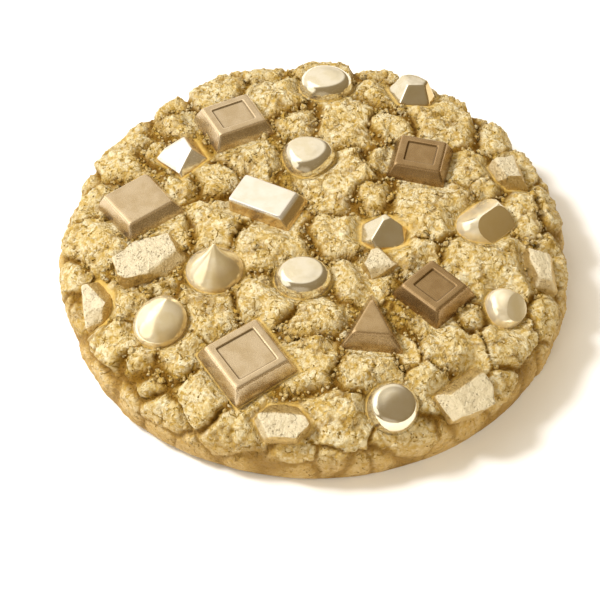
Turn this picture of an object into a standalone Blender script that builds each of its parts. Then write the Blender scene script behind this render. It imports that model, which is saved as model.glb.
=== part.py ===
# A thick drop cookie: one baked dough body, crackled into lumps on top and flat below,
# with chocolate tiles, chocolate drops and nut pieces set half sunk in it.
# Lengths in the tables are millimetres. The finished meshes are in metres, +Z up.
import math

import bmesh
import bpy
import numpy as np
from mathutils import Matrix, Vector, noise

MM = 0.001

# The dough's profile, from the crown down the shoulder to the flat base.
RADIUS = 45.0
BASE_RADIUS = 43.6
CROWN = 16.5
WAIST = 5.0
SHOULDER_POWER = 3.0
CROWN_POWER = 3.0
# How far the outline stands out from the circle, every 22.5 degrees from +X towards +Y.
OUTLINE = (0.1, 0.4, 1.2, 2.3, 2.7, 1.9, 0.5, 0.0, 0.2, -0.3, 0.5, 0.1, 0.1, 0.1, 0.3, 0.2)

# The crackled crust. Lumps rise from a floor of crumb, and a crease parts two that touch.
# The seed fixes the wandering of the lumps' edges.
NOISE_SEED = 7
CRACK_DEPTH = 2.2
LUMP_PROUD = 0.75
LUMP_GROWTH = 1.18
LUMP_DOME = 0.5
LUMP_TILT = 0.08
VALLEY_EDGE = 0.2
CREASE_DEPTH = 1.8
CREASE_WIDTH = 1.35
CREASE_CHANGE = 1.5
CREASE_NARROWEST, CREASE_WIDEST = 0.35, 2.0
CREASE_SHALLOWEST, CREASE_DEEPEST = 0.45, 1.15
CREASE_SHARPNESS = 0.9
PEBBLE_SIZE = 2.0
PEBBLE_HEIGHT = 1.0
ROUGH_SIZE = 3.0
ROUGH_HEIGHT = 0.5
ROUGH_FALL, ROUGH_STEP, ROUGH_LAYERS = 0.65, 2.2, 5
PEBBLE_ON_LUMPS = 0.3
WANDER = 1.6
WANDER_SIZE = 7.0
RAGGED = 0.55
RAGGED_SIZE = 2.2
BROAD_SIZE = 8.0
# The side is calmer than the top: less relief past this arc from the crown.
CALM = 0.6
CALM_FROM = 44.5
CALM_OVER = 7.0
CALM_LEVEL = 0.2
RIM_FADE = 3.5
# Lumps as (x, y, radius) on the crust laid flat, so that those past the shoulder are on the side.
LUMPS = (
    (-19.5, 38.5, 6.0), (-26.0, 28.5, 4.5), (-35.5, 23.0, 7.0), (-29.5, 20.5, 3.0),
    (-42.0, 10.5, 5.0), (-40.5, 0.0, 5.6), (-6.0, 33.0, 4.8), (-1.5, 26.0, 4.4),
    (-11.5, 16.0, 4.6), (-17.0, 11.5, 4.5), (-23.5, 10.5, 3.2), (-16.5, 2.0, 6.0),
    (-7.5, -3.5, 7.4), (-25.5, 0.5, 4.0), (10.0, 34.0, 4.6), (5.0, 26.5, 7.2),
    (24.0, 28.0, 6.5), (32.0, 26.5, 4.2), (12.0, 16.0, 3.4), (5.0, 12.0, 6.8),
    (10.5, 7.5, 4.0), (20.5, 5.0, 6.4), (27.5, 15.5, 4.2), (32.0, 10.5, 2.8),
    (38.0, 7.0, 5.0), (4.0, -2.0, 4.6), (30.5, -8.0, 7.4), (18.0, -7.0, 4.0),
    (-47.5, -6.0, 5.0), (-33.0, -16.5, 5.0), (-28.5, -13.0, 3.6), (-17.5, -19.0, 5.2),
    (-9.0, -17.0, 6.0), (0.0, -21.0, 4.8), (-36.0, -24.0, 6.2), (-30.0, -28.0, 4.6),
    (-23.5, -28.5, 5.4), (-28.5, -32.5, 4.2), (-20.0, -36.0, 6.2), (-27.0, -39.0, 6.0),
    (-36.0, -35.5, 5.6), (-14.5, -45.5, 7.8), (-25.0, -47.0, 6.0), (-4.0, -49.0, 6.4),
    (0.0, -30.5, 5.8), (7.5, -12.5, 4.4), (8.5, -31.0, 6.4), (16.5, -28.0, 3.8),
    (23.5, -26.5, 6.8), (19.5, -33.5, 4.6), (34.5, -24.5, 6.6), (27.5, -20.5, 3.2),
    (5.0, -41.0, 7.6), (16.0, -46.5, 6.6), (35.0, -33.0, 4.4), (27.5, -45.0, 6.4),
    (7.0, -51.5, 6.6), (41.5, -29.5, 5.4), (44.0, -17.0, 5.2), (46.5, -2.0, 5.0),
    (45.0, 9.0, 5.2), (39.0, 19.5, 4.6), (-12.0, 45.0, 5.4), (3.0, 44.0, 5.6),
    (12.0, 45.5, 5.0), (27.0, 38.5, 5.6), (-27.5, 37.0, 5.6), (-45.0, 17.5, 5.2),
    (-46.0, -16.5, 5.0), (13.5, 25.5, 3.6),
)
# A second course of lumps goes round the side, under the ones above.
SIDE_LUMPS = 26
SIDE_ARC = 51.0
SIDE_SIZE = (4.6, 6.4)

# How a set-in piece sits: its foot below the crown line, and the hollow of dough round it.
FOOT = 3.3
HOLLOW = 1.15
HOLLOW_RISE = 0.75
SKIRT = 1.6
SETTLING = 0.65
GAP = 0.3
LEVELLING = 0.3

# Moulded tablets: name, place (x, y) on the crust laid flat, turn, top (long, wide), slope, rise, panel,
# and how far the foot stands off to one side of the top.
TABLETS = (
    ("tile_northwest", -14.1, 25.7, 25.0, (9.0, 8.4), 1.5, 1.7, True, (0.0, 0.0)),
    ("tile_west", -31.2, 6.2, 34.0, (8.8, 9.0), 1.5, 1.4, False, (0.2, -0.2)),
    ("tile_northeast", 18.8, 16.1, -12.0, (8.2, 7.8), 1.4, 1.6, True, (0.0, 0.0)),
    ("tile_east", 20.6, -15.0, 47.0, (7.9, 8.2), 1.4, 1.6, True, (0.0, 0.0)),
    ("tile_south", -11.5, -29.7, 33.0, (10.3, 10.4), 1.3, 1.6, True, (0.0, 0.0)),
    ("slab_white", -9.1, 5.6, -27.0, (10.4, 6.8), 0.9, 1.35, False, (1.2, 0.4)),
)
# The three-sided tablet: the corners of its top.
WEDGE_PLACE = (9.8, -23.2)
WEDGE_TOP = ((-3.5, -2.6), (3.4, -3.1), (0.1, 4.9))
WEDGE_SLOPE = 1.6
WEDGE_RISE = 1.9
# The sunk panel on a tablet's top, and the flats on its sloping corners.
PANEL_MARGIN = 1.3
PANEL_STEP = 0.35
CORNER_ROUND = 0.7
# Moulded drops: name, place, turn, half sizes, rise, flat part of the top, how three-cornered, flats.
DOMES = (
    ("drop_north", -1.0, 16.6, 20.0, (4.8, 4.6), 1.5, 0.55, 0.06, ()),
    ("drop_north_rim", 2.2, 35.9, 0.0, (5.0, 4.7), 1.5, 0.62, 0.02, ()),
    ("drop_centre", -2.0, -12.2, 0.0, (5.0, 4.4), 1.5, 0.62, 0.0, ()),
    ("drop_south", 13.4, -38.3, 0.0, (4.5, 4.4), 1.6, 0.60, 0.0, ()),
    ("drop_east_small", 33.3, -16.7, 15.0, (3.7, 3.8), 1.4, 0.50, 0.05, ((-35, 55, 2.3),)),
    ("drop_east", 30.6, 2.2, -30.0, (5.3, 5.1), 2.3, 0.30, 0.11, ((-15, 48, 2.6), (165, 52, 2.7))),
)
# Pointed drops: name, place, radius, tip height over the crown line, how far the tip leans, profile.
CONES = (
    ("kiss_pointed", -17.4, -9.8, 5.1, 5.6, (0.2, 0.2), "cone"),
    ("kiss_leaning", -26.6, -20.9, 4.7, 3.4, (1.6, 2.0), "bulb"),
)
# Broken pieces: name, place, turn, half sizes, rise, and flats as (heading, steepness, distance).
CHUNKS = (
    ("nut_west", -28.6, -7.3, 14.0, (6.6, 4.0), 1.2,
     ((45, 0, 5.8), (225, 0, 6.4), (-60, 40, 3.3), (8, 35, 5.0), (120, 0, 4.6), (-20, 0, 6.2))),
    ("nut_southwest", -39.0, -14.4, 8.0, (2.9, 4.9), 1.2,
     ((90, 30, 3.8), (-90, 35, 3.7), (30, 40, 2.3), (180, 25, 2.4), (-40, 10, 3.6))),
    ("nut_centre", 11.2, -8.9, 30.0, (2.8, 2.4), 0.9,
     ((10, 35, 2.5), (130, 25, 2.6), (-100, 28, 2.4))),
    ("nut_south", -5.6, -41.6, -4.0, (4.7, 3.1), 1.5,
     ((90, 50, 2.7), (140, 10, 3.9), (40, 10, 3.9), (-40, 0, 4.1), (-150, 20, 3.8))),
    ("nut_southeast", 26.4, -35.4, 38.0, (4.7, 3.5), 1.5,
     ((180, 45, 3.9), (90, 50, 3.2), (-30, 0, 4.6), (-110, 10, 3.3))),
    ("nut_east", 40.9, -7.0, 4.0, (3.2, 4.3), 1.2,
     ((0, 35, 2.0), (-95, 25, 3.5), (80, 30, 3.5), (200, 15, 2.9))),
    ("nut_northeast", 35.9, 15.8, -35.0, (4.2, 3.6), 1.3,
     ((50, 38, 1.9), (-40, 25, 3.3), (150, 25, 3.5), (-120, 20, 3.3))),
    ("nugget_white", -23.1, 18.3, 40.0, (4.0, 3.8), 1.7,
     ((165, 62, 2.2), (-15, 40, 2.6), (-85, 32, 2.9), (75, 25, 3.3))),
    ("nugget_centre", 12.1, -1.3, 12.0, (4.4, 3.6), 1.8,
     ((165, 52, 2.35), (-75, 55, 2.2), (35, 35, 3.2), (100, 30, 3.0), (-140, 20, 3.7), (-20, 25, 3.8))),
    ("nugget_north", 17.7, 34.9, -10.0, (4.8, 3.4), 1.7,
     ((-70, 45, 2.2), (-150, 40, 2.7), (-10, 35, 3.2), (60, 10, 3.6), (130, 10, 3.9))),
)

# Mesh sizes.
CRUST_CELLS = 190
BODY_TRIANGLES = 8800
DOME_SIDES = 18
DOME_LEVELS = (16.0, 38.0, 62.0, 90.0)
CONE_LEVELS = {
    "cone": ((0.0, 1.0), (0.13, 0.95), (0.32, 0.73), (0.56, 0.44), (0.80, 0.20), (1.0, 0.05)),
    "bulb": ((0.0, 1.0), (0.22, 0.99), (0.47, 0.83), (0.70, 0.55), (0.87, 0.27), (1.0, 0.05)),
}
CLEAR_HEIGHT = 9.0

# Finishes: colour, roughness, metallic.
FINISHES = {
    "dough": ((0.64, 0.47, 0.21), 0.85, 0.0),
    "milk_chocolate": ((0.42, 0.29, 0.14), 0.35, 0.6),
    "pale_chocolate": ((0.86, 0.74, 0.50), 0.25, 0.6),
    "gilded_nut": ((0.72, 0.60, 0.38), 0.45, 0.4),
}
MILK = ("tile_northwest", "tile_west", "tile_northeast", "tile_east", "tile_south", "wedge_southeast")


def profile_arcs():
    # Radius, height and arc length down the profile.
    turn = np.linspace(0.0, math.pi / 2, 300)
    radius = RADIUS * np.sin(turn) ** (2.0 / SHOULDER_POWER)
    height = WAIST + (CROWN - WAIST) * np.cos(turn) ** (2.0 / CROWN_POWER)
    under = np.linspace(WAIST, 0.0, 40)[1:]
    tuck = np.sqrt(np.clip(1.0 - ((WAIST - under) / WAIST) ** 2, 0.0, 1.0))
    radius = np.concatenate([radius, BASE_RADIUS + (RADIUS - BASE_RADIUS) * tuck])
    height = np.concatenate([height, under])
    steps = np.hypot(np.diff(radius), np.diff(height))
    return radius, height, np.concatenate([[0.0], np.cumsum(steps)])


PROFILE_R, PROFILE_Z, PROFILE_ARC = profile_arcs()
ARC_END = float(PROFILE_ARC[-1])


def smooth(t):
    t = np.clip(t, 0.0, 1.0)
    return t * t * (3.0 - 2.0 * t)


def crust_at(flat):
    # Points and outward directions of the plain crust, from places on it laid flat.
    arc = np.hypot(flat[:, 0], flat[:, 1])
    turn = np.arctan2(flat[:, 1], flat[:, 0])
    around = np.linspace(-math.pi, 3 * math.pi, 33)
    bulge = np.interp(turn, around, np.roll(OUTLINE, 8)[np.arange(33) % 16])
    swell = 1.0 + bulge / RADIUS * smooth(arc / 30.0)
    radius = np.interp(arc, PROFILE_ARC, PROFILE_R) * swell
    height = np.interp(arc, PROFILE_ARC, PROFILE_Z)
    step = 0.4
    rise = np.interp(arc + step, PROFILE_ARC, PROFILE_Z) - np.interp(arc - step, PROFILE_ARC, PROFILE_Z)
    run = np.interp(arc + step, PROFILE_ARC, PROFILE_R) - np.interp(arc - step, PROFILE_ARC, PROFILE_R)
    size = np.maximum(np.hypot(rise, run), 1e-9)
    out = np.stack([np.cos(turn), np.sin(turn)], axis=1)
    points = np.column_stack([out * radius[:, None], height])
    normals = np.column_stack([out * (-rise / size)[:, None], run / size])
    return points, normals


def seat(x, y, turn=0.0):
    # The frame of a set-in piece: on the crust, nearly square to it, turned about its own axis.
    points, normals = crust_at(np.array([[x, y]], float))
    up = Vector(normals[0]).lerp(Vector((0.0, 0.0, 1.0)), LEVELLING).normalized()
    side = (Vector((1.0, 0.0, 0.0)) - up * up.x).normalized()
    axes = Matrix((side, up.cross(side), up)).transposed().to_4x4()
    return Matrix.Translation(Vector(points[0])) @ axes @ Matrix.Rotation(math.radians(turn), 4, "Z")


def grown(corners, by):
    # A convex outline, anticlockwise, with every side moved out by the same amount.
    count = len(corners)
    moved = []
    for i in range(count):
        before = Vector(corners[i]) - Vector(corners[i - 1])
        after = Vector(corners[(i + 1) % count]) - Vector(corners[i])
        first = Vector((before.y, -before.x)).normalized()
        second = Vector((after.y, -after.x)).normalized()
        moved.append(Vector(corners[i]) + (first + second) * (by / (1.0 + first.dot(second))))
    return moved


def oblong(size):
    x, y = size[0] / 2, size[1] / 2
    return ((-x, -y), (x, -y), (x, y), (-x, y))


def turned_outline(sides, half, lobes):
    points = []
    for i in range(sides):
        turn = 2 * math.pi * i / sides
        reach = 1.0 + lobes * math.cos(3 * turn)
        points.append((half[0] * reach * math.cos(turn), half[1] * reach * math.sin(turn)))
    return points


def flat_plane(flat):
    # A flat's outward direction and distance from the middle of the piece at dough level.
    heading, steepness, distance = flat
    turn, tip = math.radians(heading), math.radians(steepness)
    out = Vector((math.cos(tip) * math.cos(turn), math.cos(tip) * math.sin(turn), math.sin(tip)))
    return out, distance


def clipped(corners, flats):
    # A convex outline cut back by the flats where they meet dough level.
    for flat in flats:
        out, distance = flat_plane(flat)
        across = math.hypot(out.x, out.y)
        side = Vector((out.x / across, out.y / across))
        reach = distance / across
        kept = []
        for i, corner in enumerate(corners):
            here, there = Vector(corner), Vector(corners[(i + 1) % len(corners)])
            inside, beyond = side.dot(here) - reach, side.dot(there) - reach
            if inside <= 0:
                kept.append(here)
            if inside * beyond < 0:
                kept.append(here.lerp(there, inside / (inside - beyond)))
        corners = kept
    return [Vector(corner) for corner in corners]


def drawn_in(points, flats):
    # Outline points moved in, towards the middle, to where the flats meet dough level.
    moved = []
    for x, y in points:
        scale = 1.0
        for flat in flats:
            out, distance = flat_plane(flat)
            along = out.x * x + out.y * y
            if along > distance:
                scale = min(scale, distance / along)
        moved.append((x * scale, y * scale))
    return moved


def ring_at(corners, height):
    return [Vector((corner[0], corner[1], height)) for corner in corners]


def loft(rings):
    # Rings of points joined from the lowest up, with both ends closed.
    bm = bmesh.new()
    rows = [[bm.verts.new(point) for point in ring] for ring in rings]
    count = len(rows[0])
    for low, high in zip(rows, rows[1:]):
        for i in range(count):
            j = (i + 1) % count
            bm.faces.new((low[i], low[j], high[j], high[i]))
    bm.faces.new(list(reversed(rows[0])))
    bm.faces.new(rows[-1])
    return bm


def cut_flats(bm, flats):
    # Slices the upper part along each flat and closes the slice.
    for flat in flats:
        out, distance = flat_plane(flat)
        geometry = bm.verts[:] + bm.edges[:] + bm.faces[:]
        at = out * distance + Vector((0.0, 0.0, -HOLLOW))
        cut = bmesh.ops.bisect_plane(
            bm, geom=geometry, dist=1e-4, plane_co=at, plane_no=out, clear_outer=True
        )
        edges = [item for item in cut["geom_cut"] if isinstance(item, bmesh.types.BMEdge)]
        open_edges = [edge for edge in edges if edge.is_boundary]
        if len(open_edges) > 2:
            bmesh.ops.contextual_create(bm, geom=open_edges)
    bmesh.ops.remove_doubles(bm, verts=bm.verts[:], dist=1e-3)
    bmesh.ops.dissolve_degenerate(bm, edges=bm.edges[:], dist=1e-3)


def tablet_foot(corners, slope, off):
    return [corner + Vector(off) for corner in grown(corners, slope)]


def tablet_shape(corners, slope, rise, panel, off):
    foot = tablet_foot(corners, slope, off)
    rings = [ring_at(foot, -FOOT), ring_at(foot, -HOLLOW), ring_at(corners, rise)]
    if panel:
        rings.append(ring_at(grown(corners, -PANEL_MARGIN), rise))
        rings.append(ring_at(grown(corners, -PANEL_MARGIN - PANEL_STEP), rise - PANEL_STEP))
    bm = loft(rings)
    upright = [edge for edge in bm.edges if is_corner(edge)]
    bmesh.ops.bevel(
        bm, geom=upright, offset=CORNER_ROUND, segments=1, profile=0.5, affect="EDGES", material=-1
    )
    return bm


def is_corner(edge):
    # The edges between a tablet's sides, upright below dough level and sloping above it.
    low, high = sorted(vert.co.z for vert in edge.verts)
    return low < -HOLLOW + 0.01 and high - low > 1.0


def dome_shape(half, rise, flat, lobes, flats):
    foot = drawn_in(turned_outline(DOME_SIDES, half, lobes), flats)
    rings = [ring_at(foot, -FOOT), ring_at(foot, -HOLLOW)]
    for level in DOME_LEVELS:
        tip = math.radians(level)
        reach = flat + (1.0 - flat) * math.cos(tip)
        size = (half[0] * reach, half[1] * reach)
        height = -HOLLOW + (rise + HOLLOW) * math.sin(tip)
        rings.append(ring_at(turned_outline(DOME_SIDES, size, lobes * reach), height))
    bm = loft(rings)
    cut_flats(bm, flats)
    return bm


def cone_shape(radius, rise, lean, kind):
    rings = [ring_at(turned_outline(DOME_SIDES, (radius, radius), 0.0), -FOOT)]
    for level, reach in CONE_LEVELS[kind]:
        outline = turned_outline(DOME_SIDES, (radius * reach, radius * reach), 0.0)
        shift = level ** 1.4
        moved = [(x + lean[0] * shift, y + lean[1] * shift) for x, y in outline]
        rings.append(ring_at(moved, -HOLLOW + (rise + HOLLOW) * level))
    return loft(rings)


def chunk_outline(half, flats):
    return clipped(oblong((2 * half[0], 2 * half[1])), flats)


def chunk_shape(half, rise, flats):
    outline = chunk_outline(half, flats)
    bm = loft([ring_at(outline, -FOOT), ring_at(outline, rise)])
    cut_flats(bm, [flat for flat in flats if flat[1] > 0])
    return bm


def set_pieces():
    # Every set-in piece as (name, frame, outline at dough level, shape).
    pieces = []
    for name, x, y, turn, top, slope, rise, panel, off in TABLETS:
        corners = oblong(top)
        shape = tablet_shape(corners, slope, rise, panel, off)
        pieces.append((name, seat(x, y, turn), tablet_foot(corners, slope, off), shape))
    shape = tablet_shape(WEDGE_TOP, WEDGE_SLOPE, WEDGE_RISE, False, (0.0, 0.0))
    pieces.append(("wedge_southeast", seat(*WEDGE_PLACE), grown(WEDGE_TOP, WEDGE_SLOPE), shape))
    for name, x, y, turn, half, rise, flat, lobes, flats in DOMES:
        outline = drawn_in(turned_outline(DOME_SIDES, half, lobes), flats)
        pieces.append((name, seat(x, y, turn), outline, dome_shape(half, rise, flat, lobes, flats)))
    for name, x, y, radius, rise, lean, kind in CONES:
        outline = turned_outline(DOME_SIDES, (radius, radius), 0.0)
        pieces.append((name, seat(x, y), outline, cone_shape(radius, rise, lean, kind)))
    for name, x, y, turn, half, rise, flats in CHUNKS:
        outline = chunk_outline(half, flats)
        pieces.append((name, seat(x, y, turn), outline, chunk_shape(half, rise, flats)))
    return pieces


def beyond_outline(points, frame, outline):
    # How far points are outside a piece's outline, measured across its own frame.
    back = np.array(frame.inverted())
    local = points @ back[:3, :3].T + back[:3, 3]
    far = np.full(len(points), -1e9)
    for i in range(len(outline)):
        here, there = Vector(outline[i][:2]), Vector(outline[(i + 1) % len(outline)][:2])
        along = (there - here).normalized()
        reach = along.y * here.x - along.x * here.y
        far = np.maximum(far, along.y * local[:, 0] - along.x * local[:, 1] - reach)
    far[np.abs(local[:, 2]) > CLEAR_HEIGHT] = CLEAR_HEIGHT
    return far


def lump_list():
    # Middles and radii of all lumps, on the plain crust.
    flat = [(x, y) for x, y, radius in LUMPS]
    sizes = [radius for x, y, radius in LUMPS]
    for i in range(SIDE_LUMPS):
        turn = 2 * math.pi * (i + 0.35 * math.sin(5.0 * i)) / SIDE_LUMPS
        arc = SIDE_ARC + 1.2 * math.sin(3.0 * i)
        flat.append((arc * math.cos(turn), arc * math.sin(turn)))
        sizes.append(SIDE_SIZE[0] + (SIDE_SIZE[1] - SIDE_SIZE[0]) * (0.5 + 0.5 * math.sin(7.0 * i)))
    middles = crust_at(np.array(flat))[0]
    return middles, np.array(sizes) * LUMP_GROWTH


def noise_at(points, size):
    return np.array([noise.noise_vector(Vector(point) / size) for point in points])


def cells_at(points, size):
    # Distance to the nearest of scattered middles, in units of their spacing.
    return np.array([noise.voronoi(Vector(point) / size)[0][0] for point in points])


def creases_at(points, nearest, next_one, first, second):
    # How far each point is into a crease, from 0 on a lump to 1 in the middle, and how deep it is there.
    apart = (next_one - nearest) * first * second / (first + second)
    broad = np.array([noise.noise(Vector(point) / BROAD_SIZE) for point in points])
    change = np.clip(1.0 + CREASE_CHANGE * broad, CREASE_NARROWEST, CREASE_WIDEST)
    groove = np.clip(1.0 - apart / (CREASE_WIDTH * change), 0.0, 1.0)
    return groove, CREASE_DEPTH * np.clip(change, CREASE_SHALLOWEST, CREASE_DEEPEST)


def relief_at(points, arc, pieces):
    # How far the baked crust stands above the plain one at each point, arc being the way from the crown.
    middles, sizes = lump_list()
    wandered = points + WANDER * noise_at(points, WANDER_SIZE) + RAGGED * noise_at(points, RAGGED_SIZE)
    away = np.stack([np.linalg.norm(wandered - m, axis=1) / r for m, r in zip(middles, sizes)])
    order = np.argsort(away, axis=0)[:2]
    nearest, next_one = np.take_along_axis(away, order, axis=0)
    groove, depth = creases_at(points, nearest, next_one, *sizes[order])
    leaning = np.stack([np.sin(2.4 * order[0]), np.cos(3.7 * order[0])], axis=1) * LUMP_TILT
    lump = -LUMP_DOME * np.clip(nearest, 0.0, 1.0) ** 3 - depth * groove ** CREASE_SHARPNESS
    lump = lump + np.sum(leaning * (points - middles[order[0]])[:, :2], axis=1)
    valley = smooth((nearest - 1.0) / VALLEY_EDGE)
    lump = lump * (1.0 - valley) - CRACK_DEPTH * valley
    pebbles = PEBBLE_HEIGHT * (1.0 - cells_at(points, PEBBLE_SIZE) ** 2)
    pebbles = pebbles * (PEBBLE_ON_LUMPS + (1.0 - PEBBLE_ON_LUMPS) * valley)
    layers = (ROUGH_FALL, ROUGH_STEP, ROUGH_LAYERS)
    rough = np.array([noise.fractal(Vector(point) / ROUGH_SIZE, *layers) for point in points])
    relief = LUMP_PROUD + np.maximum(lump, pebbles - CRACK_DEPTH) + ROUGH_HEIGHT * rough
    calm = 1.0 - CALM * smooth((arc - CALM_FROM) / CALM_OVER)
    relief = CALM_LEVEL + (relief - CALM_LEVEL) * calm
    for name, frame, outline, shape in pieces:
        far = beyond_outline(points, frame, outline)
        hollow = -HOLLOW + HOLLOW_RISE * np.maximum(far - GAP, 0.0)
        near = smooth(1.0 - far / SKIRT)
        relief = np.minimum(relief, hollow)
        settled = SETTLING * -HOLLOW + (1.0 - SETTLING) * relief
        relief = relief * (1.0 - near) + np.minimum(hollow, settled) * near
    return relief


def on_disc(across, up):
    # A square grid laid on a round one, ring for ring.
    wide = np.abs(across) > np.abs(up)
    reach = np.where(wide, across, up)
    other = np.where(wide, up, across)
    turn = math.pi / 4 * other / np.where(reach == 0.0, 1.0, reach)
    turn = np.where(wide, turn, math.pi / 2 - turn)
    return np.column_stack([reach * np.cos(turn), reach * np.sin(turn)])


def dough_mesh(pieces):
    bm = bmesh.new()
    bmesh.ops.create_grid(bm, x_segments=CRUST_CELLS, y_segments=CRUST_CELLS, size=1.0)
    square = np.array([vert.co[:2] for vert in bm.verts])
    flat = on_disc(square[:, 0], square[:, 1]) * ARC_END
    points, normals = crust_at(flat)
    arc = np.hypot(flat[:, 0], flat[:, 1])
    fade = smooth((ARC_END - arc) / RIM_FADE)
    points = points + normals * (relief_at(points, arc, pieces) * fade)[:, None]
    points = np.round(points, 3)  # to a micrometre
    for vert, point in zip(bm.verts, points):
        vert.co = point
    rim = [edge for edge in bm.edges if edge.is_boundary]
    for vert in {vert for edge in rim for vert in edge.verts}:
        vert.co.z = 0.0
    bmesh.ops.contextual_create(bm, geom=rim)
    bmesh.ops.triangulate(bm, faces=bm.faces[:])
    bmesh.ops.recalc_face_normals(bm, faces=bm.faces[:])
    mesh = bpy.data.meshes.new("dough")
    bm.to_mesh(mesh)
    bm.free()
    return mesh


def finish_of(name):
    if name in MILK:
        return "milk_chocolate"
    if name.startswith("nut_"):
        return "gilded_nut"
    return "dough" if name == "dough" else "pale_chocolate"


def add_object(name, mesh):
    made = bpy.data.objects.new(name, mesh)
    bpy.context.scene.collection.objects.link(made)
    return made


def mesh_of(bm, name, frame):
    bm.transform(frame)
    mesh = bpy.data.meshes.new(name)
    bm.to_mesh(mesh)
    bm.free()
    return mesh


def applied(made):
    # The object's mesh with its modifiers worked in.
    graph = bpy.context.evaluated_depsgraph_get()
    mesh = bpy.data.meshes.new_from_object(made.evaluated_get(graph))
    made.modifiers.clear()
    made.data = mesh


def coarsened(made, triangles):
    coarse = made.modifiers.new("Coarser", "DECIMATE")
    coarse.ratio = triangles / len(made.data.polygons)
    applied(made)
    for vert in made.data.vertices:
        if vert.co.z < 0.02:
            vert.co.z = 0.0


def pocketed(made, pieces):
    # Cuts the pocket of every set-in piece, a little wider than its foot.
    pockets = bpy.data.collections.new("pockets")
    bpy.context.scene.collection.children.link(pockets)
    for name, frame, outline, shape in pieces:
        wide = grown(outline, GAP)
        bm = loft([ring_at(wide, -FOOT - GAP), ring_at(wide, CLEAR_HEIGHT)])
        cutter = bpy.data.objects.new("pocket_" + name, mesh_of(bm, "pocket_" + name, frame))
        cutter.hide_render = True
        cutter.display_type = "WIRE"
        pockets.objects.link(cutter)
    cut = made.modifiers.new("Pockets", "BOOLEAN")
    cut.operation = "DIFFERENCE"
    cut.operand_type = "COLLECTION"
    cut.collection = pockets
    applied(made)
    for cutter in list(pockets.objects):
        bpy.data.objects.remove(cutter)
    bpy.data.collections.remove(pockets)


def finish_material(name):
    colour, roughness, metallic = FINISHES[name]
    material = bpy.data.materials.new(name)
    material.use_nodes = True
    shader = material.node_tree.nodes["Principled BSDF"]
    shader.inputs["Base Color"].default_value = (*colour, 1.0)
    shader.inputs["Roughness"].default_value = roughness
    shader.inputs["Metallic"].default_value = metallic
    return material


def centred(objects):
    # Puts the middle of the whole cookie's base on the origin, and turns millimetres to metres.
    corners = np.array([vert.co[:] for vert in objects[0].data.vertices])
    middle = (corners.min(axis=0) + corners.max(axis=0)) / 2
    move = Matrix.Translation(Vector((-middle[0], -middle[1], 0.0)))
    for made in objects:
        made.data.transform(Matrix.Scale(MM, 4) @ move)


def build():
    for old in list(bpy.data.objects):
        bpy.data.objects.remove(old)
    noise.seed_set(NOISE_SEED)
    pieces = set_pieces()
    dough = add_object("dough", dough_mesh(pieces))
    coarsened(dough, BODY_TRIANGLES)
    pocketed(dough, pieces)
    objects = [dough]
    for name, frame, outline, shape in pieces:
        objects.append(add_object(name, mesh_of(shape, name, frame)))
    materials = {name: finish_material(name) for name in FINISHES}
    for made in objects:
        made.data.materials.clear()
        made.data.materials.append(materials[finish_of(made.name)])
    centred(objects)


build()
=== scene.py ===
# A thick drop cookie with lustred chocolate tiles, drops and nut pieces baked in.
# Shapes are worked out in millimetres and put in their place, in metres, as each mesh is finished.
import math

import bmesh
import bpy
import numpy as np
from mathutils import Euler, Matrix, Vector, noise


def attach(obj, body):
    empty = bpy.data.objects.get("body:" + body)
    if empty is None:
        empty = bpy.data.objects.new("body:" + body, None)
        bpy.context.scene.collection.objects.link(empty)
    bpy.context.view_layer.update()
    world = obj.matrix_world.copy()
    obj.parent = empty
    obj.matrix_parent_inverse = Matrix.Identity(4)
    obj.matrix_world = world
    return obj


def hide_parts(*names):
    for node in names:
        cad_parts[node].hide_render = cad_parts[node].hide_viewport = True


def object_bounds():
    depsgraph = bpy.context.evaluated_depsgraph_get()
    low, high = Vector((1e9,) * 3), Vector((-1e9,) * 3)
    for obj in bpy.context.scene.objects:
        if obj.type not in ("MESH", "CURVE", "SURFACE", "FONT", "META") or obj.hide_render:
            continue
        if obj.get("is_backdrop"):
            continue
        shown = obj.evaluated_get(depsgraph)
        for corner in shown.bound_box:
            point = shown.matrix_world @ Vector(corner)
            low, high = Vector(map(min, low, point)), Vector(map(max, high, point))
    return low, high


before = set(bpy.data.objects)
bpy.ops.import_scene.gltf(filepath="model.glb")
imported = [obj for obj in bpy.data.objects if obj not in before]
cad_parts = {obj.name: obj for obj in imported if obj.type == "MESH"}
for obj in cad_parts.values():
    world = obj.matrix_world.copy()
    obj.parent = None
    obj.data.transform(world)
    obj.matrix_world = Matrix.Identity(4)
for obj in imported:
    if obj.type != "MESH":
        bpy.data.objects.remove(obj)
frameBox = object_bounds()
print("frame loaded:", len(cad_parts), "nodes")

noiseSeed = 7
noise.seed_set(noiseSeed)
millimetre = 0.001
inPlace = Matrix.Scale(millimetre, 4) @ Matrix.Translation((0.136, -1.276, 0.0))

# the dough's profile, and how far its outline swells, every 22.5 degrees from +X towards +Y
crust = {
    "radius": 45.0,
    "baseRadius": 43.6,
    "crown": 16.5,
    "waist": 5.0,
    "shoulderPower": 3.0,
    "crownPower": 3.0,
    "profileSteps": (300, 40),  # above the waist and below it
    "outline": (0.1, 0.4, 1.2, 2.3, 2.7, 1.9, 0.5, 0.0, 0.2, -0.3, 0.5, 0.1, 0.1, 0.1, 0.3, 0.2),
    "swellOver": 30.0,  # the swell grows over this distance from the middle
    "slopeStep": 0.4,
    "cells": 308,
    "rimFade": 3.5,  # the relief fades out over this much at the edge of the base
    "low": (44.0, 9.0),  # where the browner side starts, and over how much
    "fit": 0.998,  # keeps the relief inside the solids' box
}


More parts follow.
